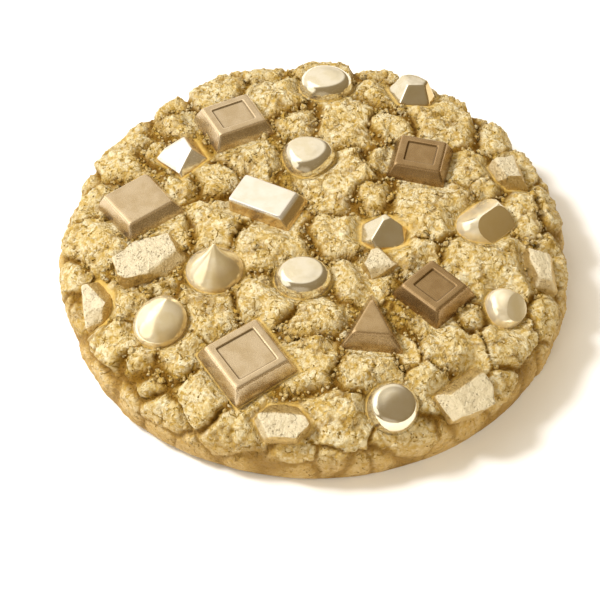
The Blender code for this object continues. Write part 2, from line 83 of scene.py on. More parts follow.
def profileArcs():
    # from the middle of the top to the foot: radius, height, and distance along the profile
    topSteps, sideSteps = crust["profileSteps"]
    turn = np.linspace(0.0, math.pi / 2, topSteps)
    tall = crust["crown"] - crust["waist"]
    radius = crust["radius"] * np.sin(turn) ** (2.0 / crust["shoulderPower"])
    height = crust["waist"] + tall * np.cos(turn) ** (2.0 / crust["crownPower"])
    under = np.linspace(crust["waist"], 0.0, sideSteps)[1:]
    tuck = np.sqrt(np.clip(1.0 - ((crust["waist"] - under) / crust["waist"]) ** 2, 0.0, 1.0))
    radius = np.concatenate([radius, crust["baseRadius"] + (crust["radius"] - crust["baseRadius"]) * tuck])
    height = np.concatenate([height, under])
    steps = np.hypot(np.diff(radius), np.diff(height))
    return radius, height, np.concatenate([[0.0], np.cumsum(steps)])


profileR, profileZ, profileArc = profileArcs()
arcEnd = float(profileArc[-1])


def ramp(value, start, over):
    # 0 up to the start, then smoothly to 1
    t = np.clip((value - start) / over, 0.0, 1.0)
    return t * t * (3.0 - 2.0 * t)


def crustAt(flat):
    # points and outward directions of the plain crust, from places on it laid flat
    arc = np.hypot(flat[:, 0], flat[:, 1])
    turn = np.arctan2(flat[:, 1], flat[:, 0])
    count = len(crust["outline"])
    around = np.linspace(-math.pi, 3 * math.pi, 2 * count + 1)
    swells = np.roll(crust["outline"], count // 2)[np.arange(2 * count + 1) % count]
    bulge = np.interp(turn, around, swells)
    swell = 1.0 + bulge / crust["radius"] * ramp(arc, 0.0, crust["swellOver"])
    radius = np.interp(arc, profileArc, profileR) * swell
    height = np.interp(arc, profileArc, profileZ)
    before, after = arc - crust["slopeStep"], arc + crust["slopeStep"]
    rise = np.interp(after, profileArc, profileZ) - np.interp(before, profileArc, profileZ)
    run = np.interp(after, profileArc, profileR) - np.interp(before, profileArc, profileR)
    size = np.maximum(np.hypot(rise, run), 1e-9)
    out = np.stack([np.cos(turn), np.sin(turn)], axis=1)
    points = np.column_stack([out * radius[:, None], height])
    normals = np.column_stack([out * (-rise / size)[:, None], run / size])
    return points, normals


# how pieces sit: how far they are righted, their foot under the crown line, and the hollow round them
seat = {
    "upright": 0.3,
    "foot": 3.3,
    "hollow": 1.15,
    "hollowRise": 0.75,
    "skirt": 1.6,
    "settling": 0.65,
    "gap": 0.3,
    "reach": 9.0,  # no piece's hollow goes further than this along its own axis
}


def seatAt(x, y, turn=0.0):
    # the frame of a set-in piece: on the crust, nearly square to it, turned about its own axis
    points, normals = crustAt(np.array([[x, y]], float))
    up = Vector(normals[0]).lerp(Vector((0.0, 0.0, 1.0)), seat["upright"]).normalized()
    side = (Vector((1.0, 0.0, 0.0)) - up * up.x).normalized()
    axes = Matrix((side, up.cross(side), up)).transposed().to_4x4()
    return Matrix.Translation(Vector(points[0])) @ axes @ Matrix.Rotation(math.radians(turn), 4, "Z")


def outlineGrown(corners, by):
    count = len(corners)
    moved = []
    for i in range(count):
        before = Vector(corners[i]) - Vector(corners[i - 1])
        after = Vector(corners[(i + 1) % count]) - Vector(corners[i])
        first = Vector((before.y, -before.x)).normalized()
        second = Vector((after.y, -after.x)).normalized()
        moved.append(Vector(corners[i]) + (first + second) * (by / (1.0 + first.dot(second))))
    return moved


def oblong(size):
    x, y = size[0] / 2, size[1] / 2
    return [Vector((-x, -y)), Vector((x, -y)), Vector((x, y)), Vector((-x, y))]


def turnedOutline(sides, half, lobes):
    points = []
    for i in range(sides):
        turn = 2 * math.pi * i / sides
        reach = 1.0 + lobes * math.cos(3 * turn)
        points.append(Vector((half[0] * reach * math.cos(turn), half[1] * reach * math.sin(turn))))
    return points


def flatPlane(flat):
    heading, steepness, distance = flat
    turn, tip = math.radians(heading), math.radians(steepness)
    out = Vector((math.cos(tip) * math.cos(turn), math.cos(tip) * math.sin(turn), math.sin(tip)))
    return out, distance


def outlineClipped(corners, flats):
    for flat in flats:
        out, distance = flatPlane(flat)
        across = math.hypot(out.x, out.y)
        side = Vector((out.x / across, out.y / across))
        reach = distance / across
        kept = []
        for i, here in enumerate(corners):
            there = corners[(i + 1) % len(corners)]
            inside, beyond = side.dot(here) - reach, side.dot(there) - reach
            if inside <= 0:
                kept.append(here)
            if inside * beyond < 0:
                kept.append(here.lerp(there, inside / (inside - beyond)))
        corners = kept
    return corners


def outlineDrawnIn(points, flats):
    moved = []
    for point in points:
        scale = 1.0
        for flat in flats:
            out, distance = flatPlane(flat)
            along = out.x * point.x + out.y * point.y
            if along > distance:
                scale = min(scale, distance / along)
        moved.append(point * scale)
    return moved


# shape helpers: a face is raised ring by ring into a closed piece
def startFace(outline, height):
    bm = bmesh.new()
    bmesh.ops.create_circle(bm, cap_ends=True, segments=len(outline), radius=1.0)
    face = list(bm.faces)[0]
    for vert, corner in zip(face.verts, outline):
        vert.co = (corner[0], corner[1], height)
    return bm, face


def raiseFace(bm, face, outline, height):
    raised = bmesh.ops.extrude_discrete_faces(bm, faces=[face])["faces"][0]
    for vert, corner in zip(raised.verts, outline):
        vert.co = (corner[0], corner[1], height)
    return raised


def faceOutwards(bm):
    bmesh.ops.recalc_face_normals(bm, faces=bm.faces[:])


def closeShape(bm):
    rim = [edge for edge in bm.edges if edge.is_boundary]
    if rim:
        bmesh.ops.contextual_create(bm, geom=rim)
    bmesh.ops.remove_doubles(bm, verts=bm.verts[:], dist=1e-4)
    faceOutwards(bm)


def roundEdges(bm, edges, width, segments):
    bmesh.ops.bevel(
        bm, geom=edges, offset=width, segments=segments, profile=0.5, affect="EDGES",
        offset_type="OFFSET", clamp_overlap=True, material=-1,
    )


def cutFlats(bm, flats):
    for flat in flats:
        out, distance = flatPlane(flat)
        geometry = bm.verts[:] + bm.edges[:] + bm.faces[:]
        at = out * distance + Vector((0.0, 0.0, -seat["hollow"]))
        cut = bmesh.ops.bisect_plane(
            bm, geom=geometry, dist=1e-4, plane_co=at, plane_no=out, clear_outer=True
        )["geom_cut"]
        edges = [item for item in cut if isinstance(item, bmesh.types.BMEdge) and item.is_boundary]
        if len(edges) > 2:
            bmesh.ops.contextual_create(bm, geom=edges)
    bmesh.ops.remove_doubles(bm, verts=bm.verts[:], dist=1e-3)
    bmesh.ops.dissolve_degenerate(bm, edges=bm.edges[:], dist=1e-3)


def finerFaces(bm, cuts):
    bmesh.ops.triangulate(bm, faces=bm.faces[:])
    bmesh.ops.subdivide_edges(bm, edges=bm.edges[:], cuts=cuts, use_grid_fill=True)


def noiseAt(point, size):
    return noise.noise(point / size)


def meshFrom(name, bm):
    mesh = bpy.data.meshes.new(name)
    bm.to_mesh(mesh)
    bm.free()
    return mesh


def addObject(name, data):
    made = bpy.data.objects.new(name, data)
    bpy.context.scene.collection.objects.link(made)
    return made


def meshObject(name, bm, material):
    bm.transform(inPlace)
    made = addObject(name, meshFrom(name, bm))
    made.data.materials.append(material)
    made.data.polygons.foreach_set("use_smooth", [True] * len(made.data.polygons))
    return made


def settle(made, slotName, *nodes):
    # ties a finished piece to the cookie
    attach(made, "root")
    if nodes:
        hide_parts(*nodes)
    return made


# materials
def feed(tree, socket, value):
    # links a node's output to a socket, or sets a plain value on it
    if isinstance(value, bpy.types.NodeSocket):
        tree.links.new(value, socket)
    else:
        socket.default_value = value


def feedInputs(tree, node, **values):
    for key, value in values.items():
        feed(tree, node.inputs[key.replace("_", " ")], value)


def addNode(tree, kind, settings=(), **values):
    node = tree.nodes.new(kind)
    for key, value in dict(settings).items():
        setattr(node, key, value)
    feedInputs(tree, node, **values)
    return node


def newMaterial(name):
    material = bpy.data.materials.new(name)
    material.use_nodes = True
    tree = material.node_tree
    place = addNode(tree, "ShaderNodeTexCoord").outputs["Object"]
    # patterns are sized in millimetres
    scaled = addNode(tree, "ShaderNodeMapping", Vector=place, Scale=(1000.0, 1000.0, 1000.0))
    return material, tree, tree.nodes["Principled BSDF"], scaled.outputs["Vector"]


def addMix(tree, factor, first, second, blend="MIX"):
    node = addNode(tree, "ShaderNodeMix", {"data_type": "RGBA", "blend_type": blend})
    for socket, value in ((0, factor), (6, first), (7, second)):
        feed(tree, node.inputs[socket], value)
    return node.outputs[2]


def addMath(tree, operation, first, second):
    node = addNode(tree, "ShaderNodeMath", {"operation": operation})
    feed(tree, node.inputs[0], first)
    feed(tree, node.inputs[1], second)
    return node.outputs[0]


def addRange(tree, value, low, high, lowTo=0.0, highTo=1.0):
    node = addNode(
        tree, "ShaderNodeMapRange", {"interpolation_type": "SMOOTHSTEP"},
        Value=value, From_Min=low, From_Max=high, To_Min=lowTo, To_Max=highTo,
    )
    return node.outputs["Result"]


def addNoise(tree, vector, size, detail=3.0, roughness=0.55, output="Fac"):
    scale = addMath(tree, "DIVIDE", 1.0, size) if isinstance(size, bpy.types.NodeSocket) else 1.0 / size
    return addNode(
        tree, "ShaderNodeTexNoise", Vector=vector, Scale=scale, Detail=detail, Roughness=roughness
    ).outputs[output]


def addAttribute(tree, name):
    return addNode(tree, "ShaderNodeAttribute", {"attribute_name": name}).outputs["Fac"]


def addBump(tree, height, strength, depth):
    return addNode(tree, "ShaderNodeBump", Height=height, Strength=strength, Distance=depth).outputs["Normal"]


# the fine crumb: sizes in millimetres, and for each range where its mask starts and is full
bakedCrumb = {
    "pitRange": (0.05, 0.38),
    "pitChanceSize": 1.1,
    "pitChance": (0.57, 0.7),
    "bend": 1.5,
    "bendSize": 1.6,
    "pillowRange": (0.0, 0.32),
    "crackRange": (0.01, 0.06),
    "crackChanceSize": 1.8,
    "crackChance": (0.54, 0.68),
    "granuleSizes": (1.15, 0.6),
    "granuleSoftness": 0.35,
    "granuleRange": (0.0, 0.36, 1.0, 0.0),
    "mottleSize": 2.7,
    "mottleRange": (0.3, 0.7),
    "heights": (0.62, 0.06, 0.14, -0.45, -0.3),  # of grain, pillows, granules, pits and cracks
}


def addGranules(tree, place, size):
    # small domes side by side, 1 on top and 0 where they meet
    kind = {"feature": "SMOOTH_F1"}
    softness = bakedCrumb["granuleSoftness"]
    node = addNode(tree, "ShaderNodeTexVoronoi", kind, Vector=place, Scale=1.0 / size, Smoothness=softness)
    away = node.outputs["Distance"]
    return addRange(tree, addMath(tree, "MULTIPLY", away, away), *bakedCrumb["granuleRange"])


def makeBakedGrain():
    # grain, granules, pits and hairline cracks, shared by every baked surface
    group = bpy.data.node_groups.new("bakedGrain", "ShaderNodeTree")
    group.interface.new_socket(name="Place", in_out="INPUT", socket_type="NodeSocketVector")
    for name in ("Grain Size", "Pit Size", "Crack Size", "Pit Share"):
        group.interface.new_socket(name=name, in_out="INPUT", socket_type="NodeSocketFloat")
    for name in ("Height", "Pits", "Cracks", "Mottle"):
        group.interface.new_socket(name=name, in_out="OUTPUT", socket_type="NodeSocketFloat")
    given = addNode(group, "NodeGroupInput")
    result = addNode(group, "NodeGroupOutput")
    place = given.outputs["Place"]

    def scaled(name):
        return addMath(group, "DIVIDE", 1.0, given.outputs[name])

    def outside(value, edges):
        return addMath(group, "SUBTRACT", 1.0, addRange(group, value, *edges))

    grain = addNoise(group, place, given.outputs["Grain Size"], 6.0, 0.7)
    pits = addNode(group, "ShaderNodeTexVoronoi", Vector=place, Scale=scaled("Pit Size"))
    chance = addNoise(group, place, bakedCrumb["pitChanceSize"], 2.0)
    chance = addMath(group, "ADD", chance, given.outputs["Pit Share"])
    pitDepth = outside(pits.outputs["Distance"], bakedCrumb["pitRange"])
    pitDepth = addMath(group, "MULTIPLY", pitDepth, addRange(group, chance, *bakedCrumb["pitChance"]))
    # cracks follow the borders of wandering cells, and show only here and there
    wander = addNoise(group, place, bakedCrumb["bendSize"], output="Color")
    bent = addNode(group, "ShaderNodeVectorMath", {"operation": "MULTIPLY_ADD"})
    for socket, value in enumerate((wander, (bakedCrumb["bend"],) * 3, place)):
        feed(group, bent.inputs[socket], value)
    bent = bent.outputs[0]
    kind = {"feature": "DISTANCE_TO_EDGE"}
    cells = addNode(group, "ShaderNodeTexVoronoi", kind, Vector=bent, Scale=scaled("Crack Size"))
    pillow = addRange(group, cells.outputs["Distance"], *bakedCrumb["pillowRange"])
    chance = addNoise(group, place, bakedCrumb["crackChanceSize"], 2.0)
    crackLine = outside(cells.outputs["Distance"], bakedCrumb["crackRange"])
    crackLine = addMath(group, "MULTIPLY", crackLine, addRange(group, chance, *bakedCrumb["crackChance"]))
    large, small = (addGranules(group, bent, size) for size in bakedCrumb["granuleSizes"])
    granules = addMath(group, "ADD", large, small)
    mottle = addNoise(group, place, bakedCrumb["mottleSize"], 4.0, 0.6)
    height = addMath(group, "MULTIPLY", grain, bakedCrumb["heights"][0])
    for value, share in zip((pillow, granules, pitDepth, crackLine), bakedCrumb["heights"][1:]):
        height = addMath(group, "ADD", height, addMath(group, "MULTIPLY", value, share))
    feedInputs(group, result, Height=height, Pits=pitDepth, Cracks=crackLine, Mottle=mottle)
    return group


bakedGrain = makeBakedGrain()


def addGrain(tree, place, grainSize, pitSize, crackSize, pitShare):
    node = addNode(
        tree, "ShaderNodeGroup", {"node_tree": bakedGrain}, Place=place, Grain_Size=grainSize,
        Pit_Size=pitSize, Crack_Size=crackSize, Pit_Share=pitShare,
    )
    return node.outputs


def addRoughness(tree, grain, look):
    return addRange(tree, grain["Mottle"], *bakedCrumb["mottleRange"], *look["roughness"])


doughLook = {
    "grain": (0.8, 0.55, 1.8, 0.03),  # sizes of grain, pits and cracks, and how many more pits
    "top": (0.72, 0.57, 0.27, 1.0),
    "topPale": (0.86, 0.78, 0.54, 1.0),
    "mottle": (0.3, 0.75),
    "grainShade": (0.50, 0.31, 0.045, 1.0),
    "grainShadeRange": (0.24, 0.52, 0.9, 0.0),  # painted shade, low in the grain
    "grainHighlight": (0.95, 0.89, 0.70, 1.0),
    "grainHighlightRange": (0.52, 0.72, 0.0, 0.6),  # painted highlight, high in the grain
    "crumb": (0.46, 0.275, 0.035, 1.0),
    "side": (0.60, 0.38, 0.12, 1.0),
    "butterAndShade": (0.56, 0.38, 0.10, 1.0),
    "shares": {"crumb": 0.85, "side": 0.75, "butterAndShade": 0.75, "pits": 0.8, "cracks": 0.5, "deep": 0.85},
    "speckSize": 0.35,
    "speckRange": (0.56, 0.75, 0.0, 0.2),
    "deep": (0.165, 0.068, 0.003, 1.0),
    "roughness": (0.52, 0.74),
    "butterGloss": 0.32,
    "butterCalm": 0.8,
    "specular": 0.12,
    "bumpDepth": 0.0012,
}


def makeDoughMaterial():
    material, tree, shader, place = newMaterial("baked_dough")
    crumb, deep, skirt, low = (addAttribute(tree, name) for name in ("crumb", "deep", "skirt", "low"))
    grain = addGrain(tree, place, *doughLook["grain"])
    mottle = addRange(tree, grain["Mottle"], *doughLook["mottle"])
    colour = addMix(tree, mottle, doughLook["top"], doughLook["topPale"])
    for name in ("grainShade", "grainHighlight"):
        layer = addRange(tree, grain["Height"], *doughLook[name + "Range"])
        colour = addMix(tree, layer, colour, doughLook[name])
    shares = doughLook["shares"]
    # creases and valleys take the crumb tint: the crumb's own colour, and partly painted shade
    # the butter ring round each piece is darker: butter's own colour, and partly painted shade where the
    # piece meets the dough
    for mask, tint in ((crumb, "crumb"), (low, "side"), (skirt, "butterAndShade")):
        colour = addMix(tree, addMath(tree, "MULTIPLY", mask, shares[tint]), colour, doughLook[tint])
    speck = addNoise(tree, place, doughLook["speckSize"], 2.0)
    colour = addMix(tree, addRange(tree, speck, *doughLook["speckRange"]), colour, doughLook["crumb"])
    # painted shade: pits, hairline cracks and the deep creases are darkened towards the deep tone
    pitDark = addMath(tree, "MULTIPLY", grain["Pits"], shares["pits"])
    crackDark = addMath(tree, "MULTIPLY", grain["Cracks"], shares["cracks"])
    dark = addMath(tree, "MAXIMUM", pitDark, crackDark)
    dark = addMath(tree, "MULTIPLY", dark, addMath(tree, "SUBTRACT", 1.0, skirt))
    dark = addMath(tree, "MAXIMUM", dark, addMath(tree, "MULTIPLY", deep, shares["deep"]))
    colour = addMix(tree, dark, colour, doughLook["deep"])
    gloss = addMath(tree, "MULTIPLY", skirt, doughLook["butterGloss"])
    rough = addMath(tree, "SUBTRACT", addRoughness(tree, grain, doughLook), gloss)
    calm = addMath(tree, "SUBTRACT", 1.0, addMath(tree, "MULTIPLY", skirt, doughLook["butterCalm"]))
    height = addMath(tree, "MULTIPLY", grain["Height"], calm)
    normal = addBump(tree, height, 1.0, doughLook["bumpDepth"])
    feedInputs(tree, shader, Base_Color=colour, Roughness=rough, Normal=normal)
    feedInputs(tree, shader, Specular_IOR_Level=doughLook["specular"])
    return material


baseLook = {
    "grain": (0.6, 0.9, 6.0, 0.1),
    "browned": (0.50, 0.30, 0.10, 1.0),
    "darkest": (0.34, 0.17, 0.05, 1.0),
    "patchSize": 9.0,
    "patchRange": (0.35, 0.68),
    "pit": (0.17, 0.08, 0.025, 1.0),
    "pitShare": 0.7,
    "roughness": (0.55, 0.8),
    "bumpDepth": 0.0005,
}


def makeBaseMaterial():
    # the browned underside, with the small open holes a tray leaves, darkened inside as painted shade
    material, tree, shader, place = newMaterial("browned_base")
    grain = addGrain(tree, place, *baseLook["grain"])
    patch = addNoise(tree, place, baseLook["patchSize"], 4.0)
    patches = addRange(tree, patch, *baseLook["patchRange"])
    colour = addMix(tree, patches, baseLook["browned"], baseLook["darkest"])
    pitted = addMath(tree, "MULTIPLY", grain["Pits"], baseLook["pitShare"])
    colour = addMix(tree, pitted, colour, baseLook["pit"])
    rough = addRoughness(tree, grain, baseLook)
    normal = addBump(tree, grain["Height"], 0.8, baseLook["bumpDepth"])
    feedInputs(tree, shader, Base_Color=colour, Roughness=rough, Normal=normal)
    return material


# dark and pale tones, the tone for painted shade in grooves and on faces turned from the light, then how
# metallic, rough and grainy
lustres = {
    "milk_lustre": ((0.52, 0.395, 0.225), (0.60, 0.475, 0.30), (0.26, 0.19, 0.10), 0.85, 0.25, 0.35),
    "bronze_lustre": ((0.40, 0.27, 0.12), (0.48, 0.34, 0.17), (0.20, 0.13, 0.06), 0.85, 0.25, 0.35),
    # painted shade: a darker copy of the milk lustre
    "shaded_milk_lustre": ((0.30, 0.185, 0.07), (0.36, 0.235, 0.10), (0.15, 0.09, 0.03), 0.85, 0.25, 0.35),
    "pale_lustre": ((0.84, 0.76, 0.55), (0.89, 0.83, 0.66), (0.66, 0.46, 0.16), 0.9, 0.13, 0.08),
    "pearl_lustre": ((0.88, 0.82, 0.68), (0.93, 0.89, 0.79), (0.62, 0.42, 0.13), 0.8, 0.16, 0.08),
    "cream_lustre": ((0.85, 0.74, 0.48), (0.91, 0.82, 0.61), (0.50, 0.36, 0.14), 0.6, 0.13, 0.08),
}

lustreGrainAndLight = {
    "patchSize": 2.6,
    "patchRange": (0.35, 0.65),
    "powderSize": 0.2,
    "powderRange": (0.5, 0.75, 0.0, 0.18),
    # painted highlight where the mark is above 0
    "paintedLightRange": (0.35, 1.0, 0.0, 0.75),
    # painted shade where the mark is below 0
    "grooveRange": (-0.9, -0.1, 0.85, 0.0),
    "brighten": (1.55, 0.06),  # times and plus, from the pale tone to the painted highlight
    "roughRange": (0.3, 0.7),
    "roughSpread": (-0.04, 0.06),
    "coat": 0.3,
    "coatRoughness": 0.15,
    "bumpDepth": 0.00005,
}


def makeLustreMaterial(name):
    # pearl lustre over chocolate, powdered fine, with painted highlights on ridges and painted shade in
    # grooves and on faces turned from the light
    *tones, metal, rough, grain = lustres[name]
    dark, pale, shade = ((*tone, 1.0) for tone in tones)
    times, plus = lustreGrainAndLight["brighten"]
    paintedHighlight = tuple(min(1.0, channel * times + plus) for channel in pale)
    material, tree, shader, place = newMaterial(name)
    patch = addNoise(tree, place, lustreGrainAndLight["patchSize"], 3.0)
    powder = addNoise(tree, place, lustreGrainAndLight["powderSize"], 2.0, 0.7)
    paintedLight = addAttribute(tree, "paintedLight")
    colour = addMix(tree, addRange(tree, patch, *lustreGrainAndLight["patchRange"]), dark, pale)
    # painted highlights where the mark is high, painted shade where it is low
    for mask, name, tint in ((powder, "powder", dark), (paintedLight, "paintedLight", paintedHighlight), (paintedLight, "groove", shade)):
        colour = addMix(tree, addRange(tree, mask, *lustreGrainAndLight[name + "Range"]), colour, tint)
    roughness = (rough + change for change in lustreGrainAndLight["roughSpread"])
    rough = addRange(tree, powder, *lustreGrainAndLight["roughRange"], *roughness)
    normal = addBump(tree, powder, grain, lustreGrainAndLight["bumpDepth"])
    feedInputs(tree, shader, Base_Color=colour, Metallic=metal, Roughness=rough, Normal=normal)
    feedInputs(tree, shader, Coat_Weight=lustreGrainAndLight["coat"], Coat_Roughness=lustreGrainAndLight["coatRoughness"])
    return material


nutLook = {
    "grain": (0.8, 0.5, 2.0, 0.1),
    "skin": (0.68, 0.49, 0.19, 1.0),
    "bare": (0.80, 0.70, 0.48, 1.0),
    "pit": (0.42, 0.26, 0.07, 1.0),
    "pitShares": (0.15, 0.6),  # on the skin and on the bare faces
    "metal": (0.8, 0.3),
    "roughness": (0.26, 0.4),
    "coat": 0.2,
    "coatRoughness": 0.2,
    "bumpDepth": 0.0008,
}


def makeNutMaterial():
    # gilded skin on the sides, bare pitted faces on top, the pits darkened as painted shade
    material, tree, shader, place = newMaterial("gilded_nut")
    bare = addAttribute(tree, "face")
    grain = addGrain(tree, place, *nutLook["grain"])
    colour = addMix(tree, bare, nutLook["skin"], nutLook["bare"])
    pitShare = addRange(tree, bare, 0.0, 1.0, *nutLook["pitShares"])
    colour = addMix(tree, addMath(tree, "MULTIPLY", grain["Pits"], pitShare), colour, nutLook["pit"])
    metal = addRange(tree, bare, 0.0, 1.0, *nutLook["metal"])
    rough = addRoughness(tree, grain, nutLook)
    normal = addBump(tree, grain["Height"], 1.0, nutLook["bumpDepth"])
    feedInputs(tree, shader, Base_Color=colour, Metallic=metal, Roughness=rough, Normal=normal)
    feedInputs(tree, shader, Coat_Weight=nutLook["coat"], Coat_Roughness=nutLook["coatRoughness"])
    return material


baked = makeDoughMaterial()
base = makeBaseMaterial()
nutSkin = makeNutMaterial()
lustre = {name: makeLustreMaterial(name) for name in lustres}
print("materials made:", len(lustre) + 3)

# moulded tablets: name, place on the crust laid flat, turn, top, slope, rise, panel, how far the foot is off
tablets = {
    "round": 0.7,
    "edge": 0.38,
    "panelMargin": 1.3,
    "panelStep": 0.28,
    "smoothing": 2,
    "list": (
        ("tile_northwest", -14.1, 25.7, 25.0, (9.0, 8.4), 1.5, 1.7, True, (0.0, 0.0)),
        ("tile_west", -31.2, 6.2, 34.0, (8.8, 9.0), 1.5, 1.4, False, (0.2, -0.2)),
        ("tile_northeast", 18.8, 16.1, -12.0, (8.2, 7.8), 1.4, 1.6, True, (0.0, 0.0)),
        ("tile_east", 20.6, -15.0, 47.0, (7.9, 8.2), 1.4, 1.6, True, (0.0, 0.0)),
        ("tile_south", -11.5, -29.7, 33.0, (10.3, 10.4), 1.3, 1.6, True, (0.0, 0.0)),
        ("slab_white", -9.1, 5.6, -27.0, (10.4, 6.8), 0.9, 1.35, False, (1.2, 0.4)),
    ),
    "wedgeTop": ((-3.5, -2.6), (3.4, -3.1), (0.1, 4.9)),
    "wedge": (9.8, -23.2, 1.6, 1.9),  # its place, slope and rise
    # painted shade: tile_northeast and tile_east take the darker copy of the milk lustre, as they face away
    # from the light
    "finish": {
        "tile_northeast": "shaded_milk_lustre",
        "tile_east": "shaded_milk_lustre",
        "wedge_southeast": "bronze_lustre",
        "slab_white": "pearl_lustre",
    },
    "slabSideShade": -0.85,  # painted shade and reflection on the slab's sides, as a groove's depth
}


def roundedCorners(corners, radius, steps=4):
    points = []
    for i, corner in enumerate(corners):
        back = (corners[i - 1] - corner).normalized()
        ahead = (corners[(i + 1) % len(corners)] - corner).normalized()
        reach = radius / math.tan(back.angle(ahead) / 2)
        first, last = corner + back * reach, corner + ahead * reach
        for step in range(steps + 1):
            t = step / steps
            points.append(first * (1 - t) ** 2 + corner * 2 * t * (1 - t) + last * t ** 2)
    return points


def tabletRings(slope, rise, panel, sideShade):
    # from the foot up: growth, height, share of the corner's radius, and a mark for painted highlight (above
    # 0) or painted shade (below 0)
    edge, tall = tablets["edge"], rise + seat["hollow"]
    rings = [
        (slope, -seat["foot"], 1.0, sideShade),
        (slope, -seat["hollow"], 1.0, min(sideShade, -0.3)),
        (slope * 0.5, rise - tall * 0.5, 0.95, min(sideShade, -0.1)),
        (slope * edge * 1.6 / tall, rise - edge * 1.6, 0.9, sideShade),
        (slope * edge * 0.5 / tall, rise - edge * 0.5, 0.9, 1.0),
        (-edge * 0.4, rise - 0.05, 0.8, 0.6),
        (-edge * 1.2, rise, 0.8, 0.0),
    ]
    if not panel:
        return rings + [(-1.4, rise + 0.02, 0.6, 0.0)]
    step, margin = tablets["panelStep"], tablets["panelMargin"]
    return rings + [
        (-margin + 0.28, rise, 0.5, 0.0),
        (-margin + 0.04, rise, 0.5, 0.9),
        (-margin - 0.1, rise - 0.08, 0.5, 0.2),
        (-margin - step * 0.6, rise - step * 0.85, 0.4, -1.0),
        (-margin - step, rise - step, 0.4, -0.5),
        (-margin - step - 0.25, rise - step, 0.4, 0.0),
        (-margin - step - 0.8, rise - step, 0.4, 0.0),
    ]


def tabletShape(corners, slope, rise, panel, off, sideShade):
    bm, face, paintedLight = None, None, None
    for grow, height, share, mark in tabletRings(slope, rise, panel, sideShade):
        foot = off * min(1.0, (rise - height) / (rise + seat["hollow"]))
        rounded = roundedCorners(outlineGrown(corners, grow), tablets["round"] * share)
        ring = [point + foot for point in rounded]
        if bm is None:
            bm, face = startFace(ring, height)
            paintedLight = bm.verts.layers.float.new("paintedLight")
        else:
            face = raiseFace(bm, face, ring, height)
        for vert in face.verts:
            # painted highlight on the bevels and the panel's lip, painted shade in the recess, near the dough
            # and on the slab's sides
            vert[paintedLight] = mark
    closeShape(bm)
    return bm


def addSmoother(made, levels):
    smoother = made.modifiers.new("Softer", "SUBSURF")
    smoother.levels = levels
    smoother.render_levels = levels


pieces = []  # every set-in piece: its name, its frame, and its outline at dough level


def makeTablets():
    made = []
    for name, x, y, turn, top, slope, rise, panel, off in tablets["list"]:
        made.append((name, seatAt(x, y, turn), oblong(top), slope, rise, panel, Vector(off)))
    x, y, slope, rise = tablets["wedge"]
    corners = [Vector(corner) for corner in tablets["wedgeTop"]]
    made.append(("wedge_southeast", seatAt(x, y), corners, slope, rise, False, Vector((0.0, 0.0))))
    for name, place, corners, slope, rise, panel, off in made:
        white = name == "slab_white"
        bm = tabletShape(corners, slope, rise, panel, off, tablets["slabSideShade"] if white else 0.0)
        pieces.append((name, place, [corner + off for corner in outlineGrown(corners, slope)]))
        bm.transform(place)
        shown = meshObject(name + "_moulded", bm, lustre[tablets["finish"].get(name, "milk_lustre")])
        addSmoother(shown, tablets["smoothing"])
        settle(shown, "pale_chocolate" if white else "milk_chocolate", name)


makeTablets()
print("tablets made")

# moulded drops: name, place, turn, half sizes, rise, flat part of the top, how three-cornered, flats
drops = {
    "sides": 36,
    "crown": 0.28,
    "crownRings": (0.7, 0.35),
    "levels": (8.0, 20.0, 34.0, 48.0, 60.0, 70.0, 79.0, 86.0, 90.0),
    "faceEdge": 0.5,
    "sharpFrom": 0.35,
    "shaded": {"drop_east": (-15, 48), "drop_east_small": (-35, 62)},  # the dark face's heading and lean
    "shadeTurn": (0.86, 0.1),  # how squarely a spot faces that way where the shade starts, and over how much
    "shade": -0.85,
    "gleam": 0.5,
    "list": (
        ("drop_north", -1.0, 16.6, 20.0, (4.8, 4.6), 1.5, 0.55, 0.06, ()),
        ("drop_north_rim", 2.2, 35.9, 0.0, (5.0, 4.7), 1.5, 0.62, 0.02, ()),
        ("drop_centre", -2.0, -12.2, 0.0, (5.0, 4.4), 1.5, 0.62, 0.0, ()),
        ("drop_south", 13.4, -38.3, 0.0, (4.5, 4.4), 1.6, 0.60, 0.0, ()),
        ("drop_east_small", 33.3, -16.7, 15.0, (3.7, 3.8), 1.4, 0.50, 0.05, ((-35, 55, 2.3),)),
        ("drop_east", 30.6, 2.2, -30.0, (5.3, 5.1), 2.3, 0.30, 0.11, ((-15, 48, 2.6), (165, 52, 2.7))),
    ),
}


def sharpEdges(bm):
    # the borders of a drop's flats, above the dough
    found = []
    for edge in bm.edges:
        if len(edge.link_faces) == 2 and edge.calc_face_angle() > drops["sharpFrom"]:
            if min(vert.co.z for vert in edge.verts) > -seat["hollow"] - 0.1:
                found.append(edge)
    return found


def dropShape(half, rise, flat, lobes, flats):
    foot = outlineDrawnIn(turnedOutline(drops["sides"], half, lobes), flats)
    bm, face = startFace(foot, -seat["foot"])
    face = raiseFace(bm, face, foot, -seat["hollow"])
    for level in drops["levels"]:
        tip = math.radians(level)
        reach = flat + (1.0 - flat) * math.cos(tip)
        size = (half[0] * reach, half[1] * reach)
        height = -seat["hollow"] + (rise + seat["hollow"]) * math.sin(tip)
        face = raiseFace(bm, face, turnedOutline(drops["sides"], size, lobes * reach), height)
    for share in drops["crownRings"]:
        size = (half[0] * flat * share, half[1] * flat * share)
        height = rise + drops["crown"] * (1.0 - share ** 2)
        face = raiseFace(bm, face, turnedOutline(drops["sides"], size, lobes * flat), height)
    closeShape(bm)
    cutFlats(bm, flats)
    faceOutwards(bm)
    if flats:
        roundEdges(bm, sharpEdges(bm), drops["faceEdge"], 3)
    return bm


